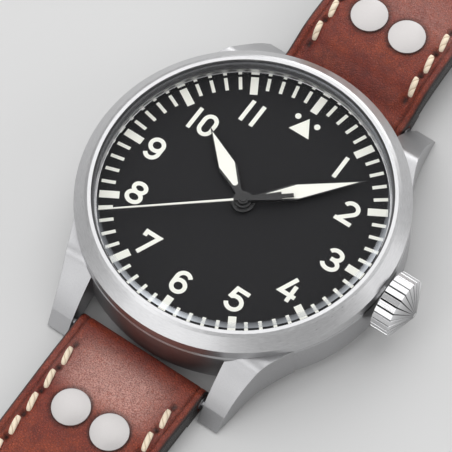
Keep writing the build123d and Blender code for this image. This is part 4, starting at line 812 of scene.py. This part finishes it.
def marks_round(count, skip, inner, width):
    """Upright bars pointing at the centre, one at each step of the circle that isn't skipped."""
    parts = []
    for step in range(count):
        if skip and step % skip == 0:
            continue
        turn = 2 * pi * step / count
        ahead = np.array((sin(turn), cos(turn)))
        side = np.array((cos(turn), -sin(turn))) * width / 2
        corners = [inner * ahead - side, inner * ahead + side, mark_outer * ahead + side,
                   mark_outer * ahead - side]
        parts.append(prism(corners, dial_top - print_sink, dial_top + print_height))
    return joined(parts)


def twelve_sign():
    """The triangle under twelve and its two dots."""
    low, high = dial_top - print_sink, dial_top + print_height
    triangle = [(sign_shift - triangle_half_width, triangle_base),
                (sign_shift + triangle_half_width, triangle_base), (sign_shift, triangle_tip)]
    parts = [prism(triangle, low, high)]
    for side in (-1, 1):
        centre = (sign_shift + side * dot_place[0], dot_place[1])
        parts.append(prism(ring(centre, (dot_radius, dot_radius), hole_steps), low, high))
    return joined(parts)


hour_marks = marks_round(hour_count, 0, hour_mark_inner, hour_mark_width)
minute_marks = marks_round(minute_count, minutes_per_hour_mark, minute_mark_inner, minute_mark_width)
make_piece("dial_numerals", *numerals(), "case", "lume", lume)
make_piece("dial_hour_marks", *hour_marks, "case", "lume", lume)
make_piece("dial_minute_marks", *minute_marks, "case", "lume", lume)
make_piece("dial_triangle", *twelve_sign(), "case", "lume", lume)


# Strap: along is the distance from the watch's middle, across the distance from the strap's middle line

def smooth_heights(along, stations, heights, start_slope):
    """Heights on cubic runs through stations, each from the heights and slopes at its two ends; the last
    run is straight."""
    stations = np.array(stations)
    slopes = np.gradient(heights, stations)
    slopes[0] = start_slope
    slopes[-2] = slopes[-1] = (heights[-1] - heights[-2]) / (stations[-1] - stations[-2])
    index = np.clip(np.searchsorted(stations, along, side="right") - 1, 0, len(stations) - 2)
    length = stations[index + 1] - stations[index]
    share = np.clip((along - stations[index]) / length, 0, 1)
    square, cube = share**2, share**3
    from_heights = (2 * cube - 3 * square + 1) * heights[index] + (3 * square - 2 * cube) * heights[index + 1]
    from_slopes = (cube - 2 * square + share) * slopes[index] + (cube - square) * slopes[index + 1]
    return from_heights + length * from_slopes


def half_width(along, pointed):
    """Half the strap's width: a taper, then parallel, then a pointed tip on the circle through the
    shoulder, the belly and the tip."""
    wide = np.interp(along, (bar_reach, taper_end), (strap_half_width, strap_end_half_width))
    if not pointed:
        return wide
    shoulder = np.array((tip_shoulder, strap_end_half_width))
    belly = np.array((tip_belly[1], tip_belly[0]))
    tip = np.array((long_reach, 0.0))
    chords = np.array([shoulder - belly, belly - tip])
    levels = np.array([shoulder @ shoulder - belly @ belly, belly @ belly - tip @ tip]) / 2
    centre = np.linalg.solve(chords, levels)
    radius = np.linalg.norm(shoulder - centre)
    across = centre[1] + np.sqrt(np.maximum(radius**2 - (along - centre[0])**2, 0))
    return np.where(along > tip_shoulder, np.minimum(wide, np.maximum(across, tip_half_width)), wide)


def stitch_places(last):
    """The middle of each stitch, as its place along and across, on a row inside each edge."""
    middles = np.arange(stitch_start, last, stitch_pitch)
    rows = half_width(middles, False) - stitch_row_inset
    return np.stack([np.repeat(middles, 2), np.column_stack([-rows, rows]).ravel()], axis=-1)


def top_dents(along, across, wide, stitches):
    """How far the top sinks and how dark it is painted with shade: a smooth step past the pad's edge, and
    bell curves of the distance from the crease line, the rivets' rims and the stitch holes."""
    inset = wide - np.abs(across)
    fade = np.clip((along - pad_fade_start) / (pad_fade_end - pad_fade_start), 0, 1)
    fall = pad_fall + (pad_fall_far - pad_fall) * fade
    past = np.clip((pad_edge - inset) / pad_run, 0, 1)
    clear = np.clip((along - bar_reach - pad_front_gap) / pad_front_run, 0, 1)
    crease = np.exp(-((inset - crease_inset) / crease_width)**2) * (wide > strap_end_half_width - crease_stop)
    sink = clear * fall * past**2 * (3 - 2 * past) + crease_depth * crease
    painted_shade = crease_shade * crease
    for centre in (-rivet_offset, rivet_offset):
        rim = np.hypot(along - rivet_reach, across - centre) - rivet_radius - rivet_gap
        near = np.exp(-(rim / rivet_dent_width)**2)
        sink = sink + rivet_dent * near
        painted_shade = np.maximum(painted_shade, rivet_rim_shade * near)
    for middle, row in stitches:
        for hole in (middle - stitch_pitch / 2, middle + stitch_pitch / 2):
            near = np.exp(-(((along - hole) / stitch_hole_length)**2
                            + ((across - row) / stitch_hole_width)**2))
            sink = sink + stitch_dent * near
            painted_shade = np.maximum(painted_shade, stitch_hole_shade * near)
    return sink, np.clip(painted_shade, 0, 1)


def strap_grid(alongs, tops, bottoms, pointed, sign, stitches, is_skin):
    """Cross sections along a strap layer, each over the top and back under the bottom, with its columns
    at sines of even turns. The skin's upper corners and the lining's lower ones are quarter rounds, and
    the skin's top sinks by its dents. The marks are places on the strap and three masks: black rim,
    painted shade, and a painted highlight patch, a fourth-power bell about its place that also makes
    the leather glossier."""
    columns = skin_columns if is_skin else lining_columns
    turns = np.linspace(-pi / 2, pi / 2, columns) * column_squeeze
    share = np.sin(turns) / sin(pi / 2 * column_squeeze)
    wide = half_width(alongs, pointed)[:, None]
    along = np.repeat(alongs[:, None], columns, axis=1)
    across = wide * share
    inset = np.minimum(wide - np.abs(across), edge_round)
    corner = edge_round - np.sqrt(np.maximum(edge_round**2 - (edge_round - inset)**2, 0))
    limit = dent_limit_share * np.maximum(tops - bottoms, 0)[:, None]
    rim = np.clip((np.abs(across) - wide + rim_width) / rim_blend, 0, 1)
    plain = np.zeros_like(across)
    if is_skin:
        sink, painted_shade = top_dents(along, across, wide, stitches)
        # Painted highlight patch
        highlight_reach, highlight_across, highlight_share = highlight_patch_places[pointed]
        highlight_patch = highlight_share * np.exp(-((along - highlight_reach) / highlight_patch_length)**4
                                    - ((across - highlight_across) / highlight_patch_width)**4)
        high = tops[:, None] - np.minimum(sink + corner, limit)
        low = bottoms[:, None] + plain
    else:
        painted_shade = highlight_patch = plain
        high = tops[:, None] + plain
        low = bottoms[:, None] + np.minimum(corner, limit)
    over = np.stack([across, sign * along, high], axis=-1)
    back = np.stack([across, sign * along, low], axis=-1)[:, ::-1]
    rows = np.concatenate([over, back], axis=1)
    masks = np.concatenate([np.stack([rim, painted_shade, highlight_patch], axis=-1),
                            np.stack([rim[:, ::-1], plain, plain], axis=-1)], axis=1)
    steps = np.arange(columns - 1)
    end_cap = np.column_stack([steps, steps + 1, 2 * columns - 2 - steps, 2 * columns - 1 - steps])
    faces = grid_faces(len(alongs), 2 * columns, False, True)
    faces += end_cap.tolist() + (end_cap + (len(alongs) - 1) * 2 * columns).tolist()
    lie = rows * (1, sign, 1)
    return rows.reshape(-1, 3), faces, {"lie": lie.reshape(-1, 3), "masks": masks.reshape(-1, 3)}


def upright_cut(sign, outline, high=cut_high):
    """A prism through the strap from below, its outline given as across and along."""
    return prism(outline * np.array((1, sign)), cut_low, high)


def cross_cut(sign, reach, height, radius):
    """A round bar right across the strap: an upright prism of a circle, laid on its side."""
    points, faces = prism(ring((reach, height), (radius, radius), cut_steps), -cut_high, cut_high)
    return points[:, [2, 0, 1]] * (1, sign, 1), faces


def strap_cuts(sign, pointed, reach, unders, thicknesses):
    """What is cut from the skin and from the lining, in groups of shapes that don't meet each other."""
    bar_bore = [cross_cut(sign, bar_reach, bar_height, bore_radius)]
    if pointed:
        holes = [upright_cut(sign, ring((0, hole), (hole_radius, hole_radius), hole_steps))
                 for hole in hole_reaches]
        caps = [upright_cut(sign, ring((side * rivet_offset, rivet_reach), (cap_cut_radius, cap_cut_radius),
                                       cut_steps), unders[0] + cap_cut_height) for side in (-1, 1)]
        return [bar_bore, holes], [caps, holes]
    corners = np.array(((-1, -slot_depth), (1, -slot_depth), (1, slot_overrun), (-1, slot_overrun)))
    slot = [upright_cut(sign, corners * (slot_half_width, 1) + (0, reach))]
    tunnel = [cross_cut(sign, reach, unders[-1] + thicknesses[-1] / 2, tunnel_radius)]
    return [bar_bore, slot, tunnel], [slot, tunnel]


def cut(piece, groups):
    """Takes groups of closed shapes out of a piece, one group after another."""
    for parts in groups:
        points, faces = joined(parts)
        mesh = bpy.data.meshes.new("cutter")
        mesh.from_pydata((points * MM).tolist(), [], faces)
        turn_outwards(mesh)
        cutter = bpy.data.objects.new("cutter", mesh)
        bpy.context.collection.objects.link(cutter)
        change = piece.modifiers.new("cut", "BOOLEAN")
        change.operation = "DIFFERENCE"
        change.solver = "EXACT"
        change.object = cutter
        graph = bpy.context.evaluated_depsgraph_get()
        result = bpy.data.meshes.new_from_object(piece.evaluated_get(graph), depsgraph=graph)
        piece.modifiers.clear()
        piece.data = result
        bpy.data.objects.remove(cutter)


def strap_profile(pointed, reach, stations, unders, thicknesses):
    """A strap half's side view: a half round about the spring bar, then cubic runs through the stations.
    Gives each slice's place, its top and underside, and the number of the slice before the lining."""
    first_slope = (unders[0] - bar_height + roll_radius) / (stations[0] - bar_reach)
    bend = bar_reach - roll_radius * np.cos(np.linspace(0, pi / 2, bend_slices))
    main = np.arange(bar_reach + first_slice, reach - (tip_run if pointed else 0), slice_step)
    end = np.array([reach])
    if pointed:
        end = reach - tip_run * np.cos(np.linspace(tip_turn, pi / 2, tip_slices))
    alongs = np.concatenate([bend, main[main < lining_start], [lining_start, lining_start + step_lean],
                             main[main > lining_start + step_lean], end])
    before_lining = bend_slices + int(np.sum(main < lining_start))
    roll = np.sqrt(np.maximum(roll_radius**2 - np.minimum(alongs - bar_reach, 0)**2, 0))
    knots = (bar_reach,) + stations
    top_heights = np.append(bar_height + roll_radius, np.add(unders, thicknesses))
    under_heights = np.append(bar_height - roll_radius, unders)
    top = np.where(alongs <= bar_reach, bar_height + roll, smooth_heights(alongs, knots, top_heights, 0.0))
    under = np.where(alongs <= bar_reach, bar_height - roll,
                     smooth_heights(alongs, knots, under_heights, first_slope))
    return alongs, top, under, before_lining


def curled_tail(alongs, top, low, reach, under, thickness):
    """The skin's slices with a half round of the tail's own thickness added at its end."""
    radius = thickness / 2
    curl = np.sin(np.linspace(0, pi / 2, bend_slices))
    rise = radius * np.sqrt(np.maximum(1 - curl**2, 0))
    axis = under + radius
    return np.append(alongs, reach + radius * curl), np.append(top, axis + rise), np.append(low, axis - rise)


def thread_grid(sign, stitches, alongs, top):
    """All stitches as slim tubes that lean over their row: the middle line is an arch, the root of one
    less the square of the share along it, above the leather's own height, and so is the thickness."""
    share = np.linspace(-1, 1, stitch_slices)
    turns = np.linspace(0, 2 * pi, stitch_sides + 1)[:-1]
    run = stitch_length / 2 * share
    hump = np.sqrt(np.maximum(1 - share**2, 0))
    along = stitches[:, :1] + run
    across = stitches[:, 1:] - sign * stitch_slant * run
    sink, _ = top_dents(along, across, half_width(along, False), [])
    leather_height = np.interp(along, alongs, top) - sink
    middle = leather_height - stitch_sink + (stitch_sink + stitch_rise) * hump**stitch_arch_power
    thick = stitch_radius * (stitch_end_share + (1 - stitch_end_share) * hump**stitch_swell_power)
    ring_side = thick[:, None] * np.cos(turns)
    ring_high = thick[:, None] * np.sin(turns) * stitch_flat_share
    flat = np.zeros_like(ring_side)
    points = np.stack([across[..., None] + ring_side, sign * along[..., None] + flat,
                       middle[..., None] + ring_high], axis=-1)
    lie = np.stack([run[:, None] + flat, turns + flat, flat], axis=-1).reshape(-1, 3)
    last = (stitch_slices - 1) * stitch_sides
    ends = [list(range(stitch_sides))[::-1], list(range(last, last + stitch_sides))]
    faces = grid_faces(stitch_slices, stitch_sides, False, True) + ends
    return *joined([(stitch.reshape(-1, 3), faces) for stitch in points]), np.tile(lie, (len(stitches), 1))


def strap_half(label, sign, pointed, reach, stations, unders, thicknesses):
    """One strap half on its own body: skin, rolled round the spring bar, lining and stitches."""
    alongs, top, under, step = strap_profile(pointed, reach, stations, unders, thicknesses)
    lined = slice(step + 1, None)
    seam = under.copy()
    seam[lined] += lining_thickness
    skin_slices = (alongs, top, seam)
    if not pointed:
        skin_slices = curled_tail(alongs, top, seam, reach, unders[-1], thicknesses[-1])
    stitches = stitch_places(stitch_ends[pointed])
    skin_cuts, lining_cuts = strap_cuts(sign, pointed, reach, unders, thicknesses)
    points, faces, marks = strap_grid(*skin_slices, pointed, sign, stitches, True)
    skin = make_piece(f"{label}_skin", points, faces, label, "brown_leather", brown_leather,
                      leather_sharp, marks, (f"{label}_leather",))
    cut(skin, skin_cuts)
    lining_slices = (alongs[lined], seam[lined], under[lined])
    points, faces, marks = strap_grid(*lining_slices, pointed, sign, stitches, False)
    backing = make_piece(f"{label}_backing", points, faces, label, "lining_leather", lining_leather,
                         leather_sharp, marks, (f"{label}_lining",))
    cut(backing, lining_cuts)
    points, faces, lie = thread_grid(sign, stitches, alongs[lined], top[lined])
    make_piece(f"{label}_thread", points, faces, label, "lume", thread_finish, thread_sharp,
               {"lie": lie})


strap_half("strap_6", -1, True, long_reach, long_stations, long_unders, long_thicknesses)
strap_half("strap_12", 1, False, short_reach, short_stations, short_unders, short_thicknesses)


# Keepers

def keeper_path(half_x, half_z):
    """A rounded oblong's middle line, as a quarter round and a straight run four times, and the
    direction that faces outwards at each of its points."""
    bend = keeper_bend - keeper_wall / 2
    corners = np.array(((1, 1), (-1, 1), (-1, -1), (1, -1))) * (half_x - bend, half_z - bend)
    angles = np.radians(np.linspace(0, 90, keeper_bend_slices) + 90 * np.arange(4)[:, None])
    outwards = np.stack([np.cos(angles), np.sin(angles)], axis=-1)
    bends = corners[:, None] + bend * outwards
    leave = bends[:, -1:]
    arrive = np.roll(bends[:, :1], -1, axis=0)
    share = np.linspace(0, 1, keeper_run_slices)[1:-1]
    runs = leave + (arrive - leave) * share[:, None]
    facing = np.concatenate([outwards, np.repeat(outwards[:, -1:], len(share), axis=1)], axis=1)
    return np.concatenate([bends, runs], axis=1).reshape(-1, 2), facing.reshape(-1, 2)


def keeper_section(half_y):
    """The band's section: a circle of the rounding's size, pulled out flat to the band's width and wall,
    with a crease near each edge of its outer side."""
    turns = np.linspace(0, 2 * pi, keeper_columns + 1)[:-1]
    waves = np.stack([np.cos(turns), np.sin(turns)])
    halves = np.array([[half_y], [keeper_wall / 2]])
    pulled = np.clip(np.array(keeper_pulls)[:, None] * waves, -1, 1)
    flat_y, flat_n = pulled * (halves - keeper_round) + keeper_round * waves
    from_edge = half_y - np.abs(flat_y) - keeper_crease_inset
    crease = keeper_crease_depth * np.exp(-(from_edge / keeper_crease_width)**2)
    return flat_y, flat_n - np.where(waves[1] > keeper_crease_side, crease, 0.0)


def keeper_loop(label, body):
    """A leather band round the strap: its section carried round a rounded oblong path."""
    low, high = (np.array(corner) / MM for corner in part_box(label))
    middle = (low + high) / 2
    half = (high - low) / 2
    path, facing = keeper_path(half[0] - keeper_wall / 2, half[2] - keeper_wall / 2)
    flat_y, flat_n = keeper_section(half[1])
    plain = np.zeros((len(path), keeper_columns))
    points = np.stack([middle[0] + path[:, :1] + facing[:, :1] * flat_n, middle[1] + plain + flat_y,
                       middle[2] + path[:, 1:] + facing[:, 1:] * flat_n], axis=-1)
    run = np.append(0, np.cumsum(np.linalg.norm(np.diff(path, axis=0), axis=1)))
    lie = np.stack([plain + flat_y, plain + run[:, None], plain + flat_n], axis=-1)
    rim = np.clip((np.abs(flat_y) - half[1] + keeper_rim_width) / keeper_rim_blend, 0, 1)
    inside = keeper_inside_dark * (flat_n < -keeper_wall / 4)
    masks = np.stack([plain + np.maximum(rim, inside), plain, plain], axis=-1)
    marks = {"lie": lie.reshape(-1, 3), "masks": masks.reshape(-1, 3)}
    make_piece(f"{label}_loop", points.reshape(-1, 3), grid_faces(len(path), keeper_columns, True, True),
               body, "brown_leather", brown_leather, leather_sharp, marks, (label,))


keeper_loop("fixed_keeper", "strap_12")
keeper_loop("sliding_keeper", "sliding_keeper")


# Studio

def floor():
    """A plain pale floor just under the watch."""
    mesh = bpy.data.meshes.new("studio_floor")
    corners = [(side_x * floor_half, side_y * floor_half, floor_level)
               for side_x, side_y in ((-1, -1), (1, -1), (1, 1), (-1, 1))]
    mesh.from_pydata(corners, [], [(0, 1, 2, 3)])
    material, _, _ = new_finish("studio_floor", Base_Color=floor_grey, Roughness=0.8)
    mesh.materials.append(material)
    piece = bpy.data.objects.new("studio_floor", mesh)
    bpy.context.collection.objects.link(piece)


def softbox(name, place, size, power):
    """A large soft lamp turned towards the watch."""
    lamp = bpy.data.lights.new(name, "AREA")
    lamp.shape = "RECTANGLE"
    lamp.size, lamp.size_y = size
    lamp.energy = power
    holder = bpy.data.objects.new(name, lamp)
    holder.location = place
    holder.rotation_euler = (-Vector(place)).to_track_quat("-Z", "Y").to_euler()
    bpy.context.collection.objects.link(holder)


def studio():
    """The lamps, the room's even light and the camera at the photograph's angle."""
    for name, (place, size, power) in lamps.items():
        softbox(name, place, size, power)
    world = bpy.data.worlds.new("studio")
    world.use_nodes = True
    background = world.node_tree.nodes["Background"]
    background.inputs["Color"].default_value = (1.0, 1.0, 1.0, 1.0)
    background.inputs["Strength"].default_value = room_light
    bpy.context.scene.world = world
    bpy.context.scene.view_settings.view_transform = "Standard"
    camera = bpy.data.cameras.new("camera")
    camera.sensor_width = sensor_width
    camera.lens = sensor_width * focal_pixels / photo_width
    camera.clip_start, camera.clip_end = clip_near, clip_far
    right, ahead, up = Vector(camera_right), Vector(camera_ahead), Vector(camera_up)
    turned = Matrix((right, up, -ahead)).transposed().to_4x4()
    viewer = bpy.data.objects.new("camera", camera)
    viewer.matrix_world = Matrix.Translation(Vector(camera_place) * MM) @ turned
    bpy.context.collection.objects.link(viewer)
    bpy.context.scene.camera = viewer


floor()
studio()
